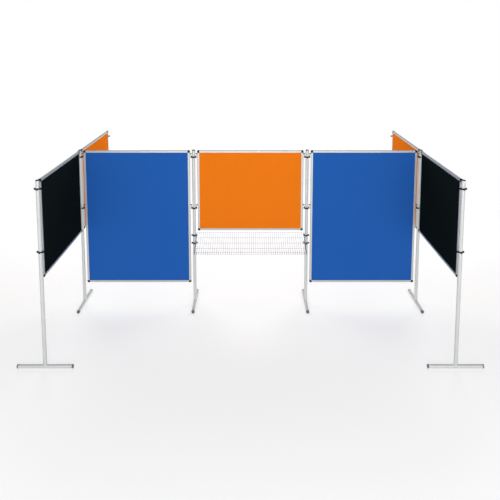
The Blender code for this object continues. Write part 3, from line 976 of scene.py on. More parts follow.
@dataclass
class Post:
    """A tube post with its cap and its T-foot.

    Args:
        name: The post's name in the CAD nodes.
        body: The body that it rides on.
        lay: The direction that its foot runs in.
        dome_start: The angle, in degrees, at which the cap's dome leaves its pole.
        plug_dome: Share of the plug's radius, and sink, of the points of its end.
        plug_bend: The angle, in degrees, at which the plug's end turns into its side.
    """

    name: str
    body: str
    lay: Lay
    sides: int = 48
    gap: float = 0.3 * MM
    tube_radius: float = 17.5 * MM
    tube_wall: float = 2.0 * MM
    tube_edge: float = 0.4 * MM
    cap_rim: float = 18.2 * MM
    cap_height: float = 7.0 * MM
    cap_skirt: float = 1.6 * MM
    cap_edge: float = 0.5 * MM
    cap_stem: float = 22.0 * MM
    dome_start: float = 84.0
    dome_steps: int = 12
    fins: int = 3
    fin_first: float = 4.0 * MM
    fin_pitch: float = 6.0 * MM
    fin_depth: float = 1.2 * MM
    fin_taper: float = 1.0 * MM
    fin_gap: float = 4.0 * MM
    foot_radius: float = 17.5 * MM
    foot_axis: float = 18.0 * MM
    plug_radius: float = 18.0 * MM
    plug_length: float = 12.0 * MM
    plug_stem: float = 20.0 * MM
    plug_dome: tuple[Pair, ...] = ((0.70, 0.1 * MM), (0.84, 0.4 * MM))
    plug_bend: float = 75.0
    plug_round: float = 2.2 * MM
    plug_steps: int = 4
    plug_shoulder: float = 2.8 * MM
    plug_edge: float = 0.6 * MM
    spigot_length: float = 60.0 * MM
    spigot_taper: float = 2.0 * MM
    hub_edge: float = 0.5 * MM
    weld_radius: float = 2.4 * MM
    weld_sink: float = 0.4 * MM
    weld_drop: float = 0.6 * MM
    weld_ripple: float = 0.10
    weld_ripples: int = 24
    weld_steps: int = 72
    weld_sides: int = 8

    def build(self) -> None:
        """Builds and dresses the post's pieces."""
        self.tube()
        self.cap()
        self.foot()

    @property
    def centre(self) -> Vector:
        """The post's axis on the floor."""
        place = middle("post_" + self.name)
        return Vector((place.x, place.y, 0.0))

    def tube(self) -> None:
        """The round tube, open at both ends, with broken edges."""
        low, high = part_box("post_" + self.name)
        outer, inner, edge = self.tube_radius, self.tube_radius - self.tube_wall, self.tube_edge
        profile = [
            (outer - edge, high.z),
            (outer, high.z - edge),
            (outer, low.z + edge),
            (outer - edge, low.z),
            (inner + edge, low.z),
            (inner, low.z + edge),
            (inner, high.z - edge),
            (inner + edge, high.z),
        ]
        shape = Shape()
        shape.lathe(profile, self.sides, Matrix.Translation(self.centre), closed=True)
        name = "post_tube_" + self.name
        dressed(name, shape.mesh(name), POST_COAT, self.body, "post_" + self.name)

    def cap(self) -> None:
        """The domed push-in cap with its finned stem."""
        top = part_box("cap_" + self.name)[1].z
        base, rim = top - self.cap_height, self.cap_rim
        skirt = base + self.cap_skirt
        stem = self.tube_radius - self.tube_wall - self.gap
        core = stem - self.fin_depth
        profile = [(0.0, top)]
        profile += arc((0.0, skirt), (rim, top - skirt), self.dome_start, 0.0, self.dome_steps)
        profile += [(rim, base + self.cap_edge), (rim - self.cap_edge, base), (stem, base)]
        for fin in range(self.fins):
            height = base - self.fin_first - self.fin_pitch * fin
            profile += [(stem, height), (core, height - self.fin_taper), (core, height - self.fin_gap)]
        profile += [(core, base - self.cap_stem), (0.0, base - self.cap_stem)]
        shape = Shape()
        shape.lathe(profile, self.sides, Matrix.Translation(self.centre))
        name = "post_cap_" + self.name
        dressed(name, shape.mesh(name), BLACK_PLASTIC, self.body, "cap_" + self.name)

    def foot(self) -> None:
        """The T-foot: a tube with end plugs, and a welded hub whose spigot enters the post."""
        body = "foot_" + self.name
        low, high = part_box(body)
        half = max(high.x - low.x, high.y - low.y) / 2
        turn = Matrix.Rotation(math.pi / 2, 4, "Y")
        if self.lay is Lay.ALONG:
            turn = Matrix.Rotation(-math.pi / 2, 4, "X")
        place = Matrix.Translation(self.centre + UP * self.foot_axis) @ turn
        outer, inner, end = self.foot_radius, self.foot_radius - self.tube_wall, half - self.plug_length
        shape = Shape()
        wall = [(outer, end), (outer, -end), (inner, -end), (inner, end)]
        shape.lathe(wall, self.sides, place, closed=True)
        self.add_hub(shape)
        self.add_weld(shape)
        name = "foot_tube_" + self.name
        dressed(name, shape.mesh(name), POST_COAT, body, body)
        self.plugs(place, half)

    def plugs(self, place: Matrix, half: float) -> None:
        """The foot's end plugs, flat where they stand on the floor.

        Args:
            place: Where the foot tube's middle and axis lie.
            half: Half the foot's length.
        """
        end = half - self.plug_length
        rim, edge, bend = self.plug_radius, self.plug_edge, self.plug_round
        stem = self.foot_radius - self.tube_wall - self.gap
        profile = [(0.0, half)] + [(share * rim, half - sink) for share, sink in self.plug_dome]
        bend_centre = (rim - bend, half - self.plug_shoulder)
        profile += arc(bend_centre, (bend, bend), self.plug_bend, 0.0, self.plug_steps)
        profile += [(rim, end + edge), (rim - edge, end), (stem, end)]
        profile += [(stem, end - self.plug_stem), (0.0, end - self.plug_stem)]
        shape = Shape()
        for side in ENDS:
            shape.lathe([(radius, height * side) for radius, height in profile], self.sides, place, floor=0.0)
        name = "foot_plugs_" + self.name
        dressed(name, shape.mesh(name), PLUG_PLASTIC, "foot_" + self.name)

    def add_hub(self, shape: Shape) -> None:
        """Adds the hub and the spigot that enters the post.

        Args:
            shape: The shape to add them to.
        """
        outer, edge = self.tube_radius, self.hub_edge
        spigot, taper = outer - self.tube_wall - self.gap, self.spigot_taper
        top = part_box("post_" + self.name)[0].z - self.gap
        tip = top + self.spigot_length
        profile = [
            (0.0, tip),
            (spigot - taper, tip),
            (spigot, tip - taper),
            (spigot, top),
            (outer - edge, top),
            (outer, top - edge),
            (outer, self.foot_axis),
            (0.0, self.foot_axis),
        ]
        shape.lathe(profile, self.sides, Matrix.Translation(self.centre))

    def add_weld(self, shape: Shape) -> None:
        """Adds the rippled weld along the line where the hub meets the foot tube.

        Args:
            shape: The shape to add it to.
        """
        rings = []
        turns = [math.tau * k / self.weld_sides for k in range(self.weld_sides)]
        for i in range(self.weld_steps):
            angle = math.tau * i / self.weld_steps
            out = Vector((math.cos(angle), math.sin(angle), 0.0))
            across = out.y if self.lay is Lay.ACROSS else out.x
            rise = math.sqrt(max(1.0 - across * across, 0.0)) * self.foot_radius
            bead = self.weld_radius * (1.0 + self.weld_ripple * math.cos(angle * self.weld_ripples))
            spot = self.centre + out * (self.tube_radius - self.weld_sink)
            spot += UP * (self.foot_axis + rise - self.weld_drop)
            offsets = [out * (bead * math.cos(turn)) + UP * (bead * math.sin(turn)) for turn in turns]
            rings.append([spot + offset for offset in offsets])
        shape.rings(rings, closed=True)


@dataclass
class Ring:
    """A low collar with four taller lugs that have upright eyes, held on its post by a grub screw.

    Args:
        node: The CAD node that it stands for.
        body: The body that it rides on.
        screw: Radius and height over the collar, in millimetres, of the screw's profile.
    """

    node: str
    body: str
    lugs: int = 4
    bore: float = 17.8 * MM
    bore_sides: int = 48
    collar: float = 21.8 * MM
    collar_steps: int = 144
    reach: float = 27.0 * MM
    lug: float = 6.4 * MM
    lug_sides: int = 20
    eye: float = 3.5 * MM
    eye_edge: float = 0.5 * MM
    eye_sides: int = 16
    band: float = 14.0 * MM
    edge: float = 0.9 * MM
    edge_steps: int = 3
    fillet: float = 2.6 * MM
    screw_facing: float = 45.0
    screw_sides: int = 6
    screw: tuple[Pair, ...] = (
        (0.0, -1.4), (0.8, -1.4), (1.0, -0.1), (2.1, 0.1), (2.4, -0.2), (2.4, -2.0), (0.0, -2.0)
    )

    def build(self) -> None:
        """Builds and dresses the ring and its screw."""
        self.add_collar()
        self.add_lugs()
        self.add_screw()

    @property
    def facings(self) -> list[float]:
        """The lugs' directions from the post's axis."""
        return [math.tau * lug / self.lugs for lug in range(self.lugs)]

    def add_collar(self) -> None:
        """The collar and the feet of its lugs, cut from one plate."""
        steps = self.collar_steps
        outline = [self.edge_point(math.tau * i / steps) for i in range(steps)]
        holes = [circle((0.0, 0.0), self.bore, self.bore_sides)]
        for facing in self.facings:
            eye = (self.reach * math.cos(facing), self.reach * math.sin(facing))
            holes.append(circle(eye, self.eye + self.edge, self.eye_sides))
        mesh = plate([outline, *holes], self.band, self.edge)
        mesh.transform(Matrix.Translation(middle(self.node)))
        clean(mesh, SHARP)
        dressed("clamp_" + self.node, mesh, BLACK_PLASTIC, self.body, self.node)

    def add_lugs(self) -> None:
        """The four eyes' bosses, as high as the CAD ring."""
        low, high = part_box(self.node)
        half = (high.z - low.z) / 2
        edge, outer, bore, broken = self.edge, self.lug, self.eye, self.eye_edge
        profile = [(bore, half - broken), (bore + broken, half)]
        profile += arc((outer - edge, half - edge), (edge, edge), 90.0, 0.0, self.edge_steps)
        profile += arc((outer - edge, edge - half), (edge, edge), 0.0, -90.0, self.edge_steps)
        profile += [(bore + broken, -half), (bore, broken - half)]
        shape = Shape()
        shape.lathe(profile, self.lug_sides, Matrix.Identity(4), closed=True)
        centre = middle(self.node)
        spots = []
        for facing in self.facings:
            out = Vector((math.cos(facing), math.sin(facing), 0.0))
            spots.append((centre + out * self.reach, UP * facing))
        mesh = Repeats.copied(shape.mesh("lug"), spots, BLACK_PLASTIC)
        dressed("lugs_" + self.node, mesh, BLACK_PLASTIC, self.body)

    def edge_point(self, angle: float) -> Pair:
        """A point of the outline.

        Args:
            angle: Its direction from the post's axis.

        Returns:
            The point: the outer of the collar and the nearest lug, with a fillet between them.
        """
        step = math.tau / self.lugs
        off = (angle + step / 2) % step - step / 2
        lug = 0.0
        slack = self.lug * self.lug - (self.reach * math.sin(off)) ** 2
        side = abs(self.lug / math.sin(off)) if off else self.reach + self.lug
        if side * math.cos(off) < self.reach:
            lug = side
        elif slack > 0.0:
            lug = self.reach * math.cos(off) + math.sqrt(slack)
        width = max(self.fillet - abs(lug - self.collar), 0.0)
        radius = max(lug, self.collar) + width * width / (4.0 * self.fillet)
        radius = min(radius, self.reach + self.lug)
        return (radius * math.cos(angle), radius * math.sin(angle))

    def add_screw(self) -> None:
        """The grub screw in the collar, on the side away from the viewer."""
        profile = [(radius * MM, self.collar + height * MM) for radius, height in self.screw]
        shape = Shape()
        shape.lathe(profile, self.screw_sides, Matrix.Identity(4))
        turn = Vector((0.0, math.pi / 2, math.radians(self.screw_facing)))
        mesh = Repeats.copied(shape.mesh("screw"), [(middle(self.node), turn)], PIN_STEEL)
        dressed("screw_" + self.node, mesh, PIN_STEEL, self.body)


@dataclass
class Board:
    """A felt board in rails of aluminium, with plastic corners and the hooks that hang it.

    Args:
        name: The board's name in the CAD nodes.
        body: The body that it rides on.
        felt: Its felt.
        free_end: Whether one side hangs on no post, and its pins carry links.
        felt_edge: Inset and sink, in millimetres, of the panel's edge.
        felt_swell: The same beside the rails' lips, where the felt swells to its full thickness.
        felt_sharp: The angle, in degrees, from which an edge of the felt stays sharp.
        rail_sharp: The same for the rails.
        corner_sharp: The same for the corners.
        bush: Radius and height over the rail's edge, in millimetres, of a bush's foot and groove.
        bush_end: The angle, in degrees, at which the bush's nose turns into its flat end.
    """

    name: str
    body: str
    felt: Felt
    free_end: bool = False
    inset: float = 4.3 * MM
    felt_edge: tuple[Pair, ...] = ((0.0, 0.6), (0.5, 0.3), (1.2, 0.25))
    felt_swell: tuple[Pair, ...] = ((0.0, 0.22), (1.5, 0.16), (3.5, 0.05), (6.0, 0.0))
    felt_sharp: float = 60.0
    rail_face: float = 23.0 * MM
    rail_depth: float = 20.0 * MM
    rail_wall: float = 2.2 * MM
    rail_web: float = 4.2 * MM
    rail_bead: float = 6.0 * MM
    rail_bead_steps: int = 7
    rail_edge: float = 0.3 * MM
    rail_tuck: float = 3.0 * MM
    rail_sharp: float = 25.0
    groove: float = 1.4 * MM
    groove_side: float = 0.4 * MM
    groove_ramp: float = 0.8 * MM
    lip_edge: float = 0.5 * MM
    slot_half: float = 3.1 * MM
    slot_depth: float = 3.2 * MM
    corner_lap: float = 2.0 * MM
    corner_proud: float = 0.8 * MM
    corner_radius: float = 11.8 * MM
    corner_steps: int = 10
    corner_edge: float = 1.8 * MM
    corner_edge_steps: int = 3
    corner_nose: Pair = (2.0 * MM, 0.6 * MM)
    corner_sharp: float = 30.0
    pin_standoff: float = 13.0 * MM
    pin_radius: float = 3.0 * MM
    pin_sides: int = 16
    pin_tail: float = 5.0 * MM
    pin_tip: Pair = (1.6 * MM, 2.2 * MM)
    pin_sink: float = 1.0 * MM
    bush_rise: float = 36.0 * MM
    bush_length: float = 17.5 * MM
    bush_nose: float = 3.0 * MM
    bush_nose_steps: int = 4
    bush_end: float = 80.0
    bush_radius: float = 6.1 * MM
    bush_sides: int = 20
    bush: tuple[Pair, ...] = (
        (0.0, -2.0), (6.5, -2.0), (6.5, 2.6), (5.9, 3.2), (5.4, 3.4), (5.4, 4.6), (6.1, 5.0)
    )
    sleeve_radius: float = 4.3 * MM
    sleeve_sides: int = 20
    sleeve_height: float = 10.0 * MM
    sleeve_edge: float = 0.5 * MM
    sleeve_taper: Pair = (1.0 * MM, 1.2 * MM)
    ring_height: float = 16.0 * MM
    link_radius: float = 4.3 * MM
    link_steps: int = 10
    link_bore_sides: int = 16
    link_reach: float = 24.0 * MM
    link_height: float = 15.0 * MM
    link_edge: float = 0.3 * MM
    gap: float = 0.3 * MM

    def __post_init__(self) -> None:
        """Reads the board's place from its CAD panel and the hooks' heights from its rings."""
        low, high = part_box("board_" + self.name)
        self.lay = Lay.ACROSS if high.x - low.x > high.y - low.y else Lay.ALONG
        self.centre = (low + high) / 2
        self.along = Vector((1.0, 0.0, 0.0)) if self.lay is Lay.ACROSS else Vector((0.0, 1.0, 0.0))
        self.face = self.along.cross(UP)
        self.half = (high - low).dot(self.along) / 2 + self.inset
        self.felt_half = (high - low).dot(Vector((abs(self.face.x), abs(self.face.y), 0.0))) / 2
        self.low, self.high = low.z - self.inset, high.z + self.inset
        self.levels = [middle("ring_centre_left_" + level).z for level in LEVELS]

    def build(self) -> None:
        """Builds and dresses the board's pieces."""
        self.panel()
        self.rails()
        self.corners()
        self.bushes()
        pins = [(self.at(self.pin_x * side, level), Vector()) for side, level in self.hook_spots]
        self.pins(pins)
        self.sleeves(pins)
        if self.free_end:
            self.links()

    @property
    def pin_x(self) -> float:
        """Distance of the hooks' pins from the board's middle."""
        return self.half + self.pin_standoff

    @property
    def hook_spots(self) -> list[Pair]:
        """Side and height of each hook."""
        return [(side, level) for side in ENDS for level in self.levels]

    def at(self, across: float, height: float, out: float = 0.0) -> Vector:
        """A world point from a distance along the board, a height and a distance out of its face."""
        flat = Vector((self.centre.x, self.centre.y, 0.0))
        return flat + self.along * across + self.face * out + Vector((0.0, 0.0, height))

    def panel(self) -> None:
        """The felt-covered panel, pressed in a little under the rails' lips."""
        lip = (self.rail_face - self.inset) / MM
        levels = [*self.felt_edge, *((lip + inset, sink) for inset, sink in self.felt_swell)]
        rings = []
        for side in (1.0, -1.0):
            part = []
            for inset, sink in levels:
                x = self.half - self.inset - inset * MM
                top, bottom = self.high - self.inset - inset * MM, self.low + self.inset + inset * MM
                out = side * (self.felt_half - sink * MM)
                spots = ((-x, bottom), (x, bottom), (x, top), (-x, top))
                part.append([self.at(*spot, out) for spot in spots])
            rings += part[::-1] if side > 0 else part
        shape = Shape()
        shape.rings(rings)
        name = "felt_panel_" + self.name
        dressed(name, shape.mesh(name, self.felt_sharp), self.felt, self.body, "board_" + self.name)

    def section(self) -> Profile:
        """The rail's section: a channel with a round outer bead, a groove and a flat lip on each face.

        Returns:
            Distance inwards from the outer edge and height towards the face of each point.
        """
        half, inside = self.rail_depth / 2, self.rail_depth / 2 - self.rail_wall
        bead, edge, slot, lip = self.rail_bead, self.rail_edge, self.slot_half, self.rail_face
        near = bead + self.groove_side
        far, floor = near + self.groove, half - self.groove
        upper = [(self.slot_depth, slot), (edge, slot), (0.0, slot + edge)]
        upper += arc((bead, half - bead), (bead, bead), 180.0, 90.0, self.rail_bead_steps)
        upper += [(near, half - self.groove_side), (near, floor), (far, floor), (far + edge, half - edge)]
        upper += [(far + self.groove_ramp, half), (lip - self.lip_edge, half), (lip, half - self.lip_edge)]
        upper += [(lip, inside + edge), (lip - edge, inside), (self.rail_web, inside)]
        return upper + [(inward, -out) for inward, out in reversed(upper)]

    def rails(self) -> None:
        """The four rails, butted against the corner pieces."""
        stop = self.rail_face + self.corner_lap - self.rail_tuck
        section = self.section()
        shape = Shape()
        for side in ENDS:
            bottom = self.at(self.half * side, self.low + stop)
            top = self.at(self.half * side, self.high - stop)
            shape.run(section, bottom, top, self.along * -side, self.face)
        span = self.half - stop
        shape.run(section, self.at(-span, self.low), self.at(span, self.low), UP, self.face)
        shape.run(section, self.at(-span, self.high), self.at(span, self.high), -UP, self.face)
        name = "rails_" + self.name
        dressed(name, shape.mesh(name, self.rail_sharp), RAIL_METAL, self.body, "frame_" + self.name)

    def corners(self) -> None:
        """The four plastic corners that join the rails."""
        proud, radius = self.corner_proud, self.corner_radius
        size = self.rail_face + self.corner_lap + proud
        nose, cut = self.corner_nose
        outline = [(0.0, size), (0.0, nose), (cut, cut), (nose, 0.0), (size, 0.0)]
        bend_centre = (size - radius, size - radius)
        outline += arc(bend_centre, (radius, radius), 0.0, 90.0, self.corner_steps)[1:-1]
        thickness = self.rail_depth + 2 * proud
        plain = plate([outline[::-1]], thickness, self.corner_edge, self.corner_edge_steps)
        shape = Shape()
        for right in ENDS:
            for upper in ENDS:
                x = right * (self.half + proud - size)
                z = (self.high + proud - size) if upper > 0 else (self.low - proud + size)
                points = [self.at(x + right * v.co.x, z + upper * v.co.y, v.co.z) for v in plain.vertices]
                shape.add(points, [tuple(face.vertices) for face in plain.polygons])
        bpy.data.meshes.remove(plain)
        name = "corners_" + self.name
        dressed(name, shape.mesh(name, self.corner_sharp), BLACK_PLASTIC, self.body)

    def hang(self, kind: str, shape: Shape, places: list[Spot], finish: Finish) -> None:
        """Dresses copies of one of the hooks' turned parts.

        Args:
            kind: The part's name.
            shape: The part, about its own axis.
            places: Place and Euler turn of each copy.
            finish: What it is made of.
        """
        mesh = Repeats.copied(shape.mesh(kind), places, finish)
        dressed("hook_" + kind + "_" + self.name, mesh, finish, self.body)

    def bushes(self) -> None:
        """The hooks' dark bushes on the rails' sides."""
        nose = self.bush_nose
        profile = [(radius * MM, height * MM) for radius, height in self.bush]
        nose_centre = (self.bush_radius - nose, self.bush_length - nose)
        profile += arc(nose_centre, (nose, nose), 0.0, self.bush_end, self.bush_nose_steps)
        shape = Shape()
        shape.lathe([*profile, (0.0, self.bush_length)], self.bush_sides, Matrix.Identity(4))
        yaw = 0.0 if self.lay is Lay.ACROSS else math.pi / 2
        places = []
        for side, level in self.hook_spots:
            turn = Vector((0.0, math.pi / 2 * side, yaw))
            places.append((self.at(self.half * side, level + self.bush_rise), turn))
        self.hang("bushes", shape, places, BLACK_PLASTIC)

    def pins(self, places: list[Spot]) -> None:
        """The hooks' steel pins, which drop through the rings' eyes.

        Args:
            places: Place and Euler turn of each pin.
        """
        foot, top = -self.ring_height / 2 - self.pin_tail, self.bush_rise - self.pin_sink
        radius = self.pin_radius
        narrow, taper = self.pin_tip
        profile = [(0.0, foot), (radius - narrow, foot), (radius, foot + taper), (radius, top), (0.0, top)]
        shape = Shape()
        shape.lathe(profile, self.pin_sides, Matrix.Identity(4))
        self.hang("pins", shape, places, PIN_STEEL)

    def sleeves(self, places: list[Spot]) -> None:
        """The sleeves on the pins, which rest on the lugs.

        Args:
            places: Place and Euler turn of each pin.
        """
        bore, radius, edge = self.pin_radius, self.sleeve_radius, self.sleeve_edge
        seat = self.ring_height / 2 + self.gap
        top = seat + self.sleeve_height
        narrow, taper = self.sleeve_taper
        profile = [(bore, seat), (radius - edge, seat), (radius, seat + edge)]
        profile += [(radius, top - taper), (radius - narrow, top), (bore, top)]
        shape = Shape()
        shape.lathe(profile, self.sleeve_sides, Matrix.Identity(4), closed=True)
        self.hang("sleeves", shape, places, BLACK_PLASTIC)

    def links(self) -> None:
        """The dark links that hang on the pins of a free end and point towards the middle of the wall."""
        eye, reach, bore = self.link_radius, self.link_reach, self.pin_radius + self.gap
        near, far = (0.0, 0.0), (reach, 0.0)
        outline = arc(near, (eye, eye), 90.0, 270.0, self.link_steps)
        outline += arc(far, (eye, eye), -90.0, 90.0, self.link_steps)
        holes = [circle(end, bore, self.link_bore_sides) for end in (near, far)]
        template = plate([outline, *holes], self.link_height, self.link_edge)
        turn = Vector() if self.centre.x < 0.0 else UP * math.pi
        places = [(self.at(self.pin_x, level), turn) for level in self.levels]
        mesh = Repeats.copied(template, places, BLACK_PLASTIC)
        clean(mesh, SHARP)
        dressed("hook_links_" + self.name, mesh, BLACK_PLASTIC, self.body)


@dataclass
class Rack:
    """The wire rack: a sloping floor and an upright lip of welded round wire, on two bent arms."""

    body: str = "rack"
    wires: int = 52
    wire: float = 3.0 * MM
    wire_sides: int = 10
    cross_radius: float = 1.5 * MM
    cross_bend: float = 4.0 * MM
    cross_steps: int = 5
    rail_radius: float = 1.3 * MM
    rim_radius: float = 1.5 * MM
    rim_sides: int = 12
    weld_sink: float = 0.4 * MM
    floor_rows: int = 4
    front_setback: float = 8.0 * MM
    arm_radius: float = 3.0 * MM
    arm_bend: float = 10.0 * MM
    arm_steps: int = 8
    arm_rise: float = 18.0 * MM
    arm_sides: int = 16
    brace_setback: float = 40.0 * MM
    pin_tail: float = 5.0 * MM
    ring_height: float = 16.0 * MM
    eye_reach: float = 27.0 * MM
    gap: float = 0.3 * MM

    def __post_init__(self) -> None:
        """Reads the rack's sizes from its CAD nodes."""
        lip_low, lip_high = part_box("rack_lip")
        ring = middle("rack_ring_right_upper")
        self.axis_y = ring.y
        self.eye_x = ring.x - self.eye_reach
        self.upper, self.lower = ring.z, middle("rack_ring_right_lower").z
        self.back_z = self.upper + self.ring_height / 2 + self.arm_rise
        self.depth = self.axis_y - lip_low.y
        self.fall = self.back_z - lip_low.z
        self.lip_top = lip_high.z
        self.back_half = self.eye_x - self.arm_radius - self.gap
        self.front_half = lip_high.x

    def build(self) -> None:
        """Builds and dresses the rack's pieces."""
        self.grid()
        self.long_wires()
        self.arms()

    @property
    def slope(self) -> Vector:
        """Unit vector down the floor, towards the viewer."""
        return Vector((0.0, -self.depth, -self.fall)).normalized()

    def half_at(self, ahead: float) -> float:
        """Half the rack's width at a distance in front of its back edge."""
        return self.back_half + (self.front_half - self.back_half) * ahead / self.depth

    def grid(self) -> None:
        """The cross wires: down the floor and up the lip, fanned out a little towards the front."""
        half_wire = self.wire / 2
        front_y = self.axis_y - self.depth + half_wire
        back = Vector((0.0, self.axis_y, self.back_z - self.cross_radius))
        front = Vector((0.0, front_y, self.back_z - self.fall + half_wire))
        top = Vector((0.0, front_y, self.lip_top - half_wire))
        path = rounded_path([back, front, top], self.cross_bend, self.cross_steps)
        host = bpy.data.meshes.new("path")
        host.from_pydata(path, [(i, i + 1) for i in range(len(path) - 1)], [])
        half = self.back_half - half_wire
        mesh = Repeats.made(
            "wire_grid",
            host,
            Count=self.wires,
            Half_Width=half,
            Radius=self.cross_radius,
            Spread=(self.front_half - self.back_half) / self.depth / half,
            Back=self.axis_y,
            Finish=RACK_METAL.material(),
        )
        dressed("rack_cross_wires", mesh, RACK_METAL, self.body, "rack_floor", "rack_lip")

    def long_wires(self) -> None:
        """The wires along the rack: on the floor, and the lip's bottom and top."""
        on_cross = self.cross_radius + self.rail_radius - self.weld_sink
        lift = Vector((0.0, self.slope.z, -self.slope.y)) * on_cross
        shape = Shape()
        for row in range(self.floor_rows + 1):
            ahead = (self.depth - self.front_setback) * (row / self.floor_rows)
            radius = self.rim_radius if row == 0 else self.rail_radius
            centre = Vector((0.0, self.axis_y - ahead, self.back_z - self.fall * ahead / self.depth)) + lift
            half = Vector((self.half_at(ahead), 0.0, 0.0))
            shape.tube([centre - half, centre + half], radius, self.wire_sides)
        y = self.axis_y - self.depth + self.wire / 2 + on_cross
        z = self.lip_top - self.rim_radius
        rim = [Vector((self.front_half * side, y, z)) for side in ENDS]
        shape.tube(rim, self.rim_radius, self.rim_sides)
        dressed("rack_long_wires", shape.mesh("rack_long_wires"), RACK_METAL, self.body)

    def arms(self) -> None:
        """The bent arms that stand in the rings' eyes, each with a brace to the lower ring."""
        tail = self.ring_height / 2 + self.pin_tail
        rise = self.ring_height / 2 + self.arm_rise
        flare = math.atan2(self.front_half - self.back_half, self.depth)
        reach = self.depth - self.wire / 2
        drop = self.fall * reach / self.depth
        setback = (self.depth - self.brace_setback) / self.depth
        for side in Side:
            ahead = Vector((math.sin(flare) * side.value, -math.cos(flare), 0.0))
            eye = Vector((self.eye_x * side.value, self.axis_y, 0.0))
            back = eye + UP * self.back_z
            front = back + ahead * reach - UP * drop
            weld = back + ahead * (self.depth * setback) - UP * (self.fall * setback)
            lip_end = front + UP * (self.lip_top - front.z)
            shape = Shape()
            arm = [eye + UP * (self.upper - tail), back, front, lip_end]
            brace = [eye + UP * (self.lower - tail), eye + UP * (self.lower + rise), weld]
            for corners in (arm, brace):
                path = rounded_path(corners, self.arm_bend, self.arm_steps)
                shape.tube(path, self.arm_radius, self.arm_sides)
            name = "rack_side_" + side.label
            dressed(name, shape.mesh(name), RACK_METAL, self.body, "rack_arm_" + side.label)


@dataclass(frozen=True)
class Lamp:
    """A soft square lamp.

    Args:
        name: Its name.
        place: Where it hangs.
        aim: What it points at.
        size: The length of its sides.
        power: Its power in watts.
        mirrored: Whether reflections show it.
    """

    name: str
    place: Triple
    aim: Triple
    size: float
    power: float
    mirrored: bool = True

    def hang(self) -> None:
        """Adds the lamp to the scene."""
        light = bpy.data.lights.new(self.name, "AREA")
        light.size = self.size
        light.energy = self.power
        lamp = bpy.data.objects.new(self.name, light)
        bpy.context.scene.collection.objects.link(lamp)
        lamp.location = self.place
        lamp.rotation_euler = (Vector(self.aim) - Vector(self.place)).to_track_quat("-Z", "Y").to_euler()
        lamp.visible_glossy = self.mirrored


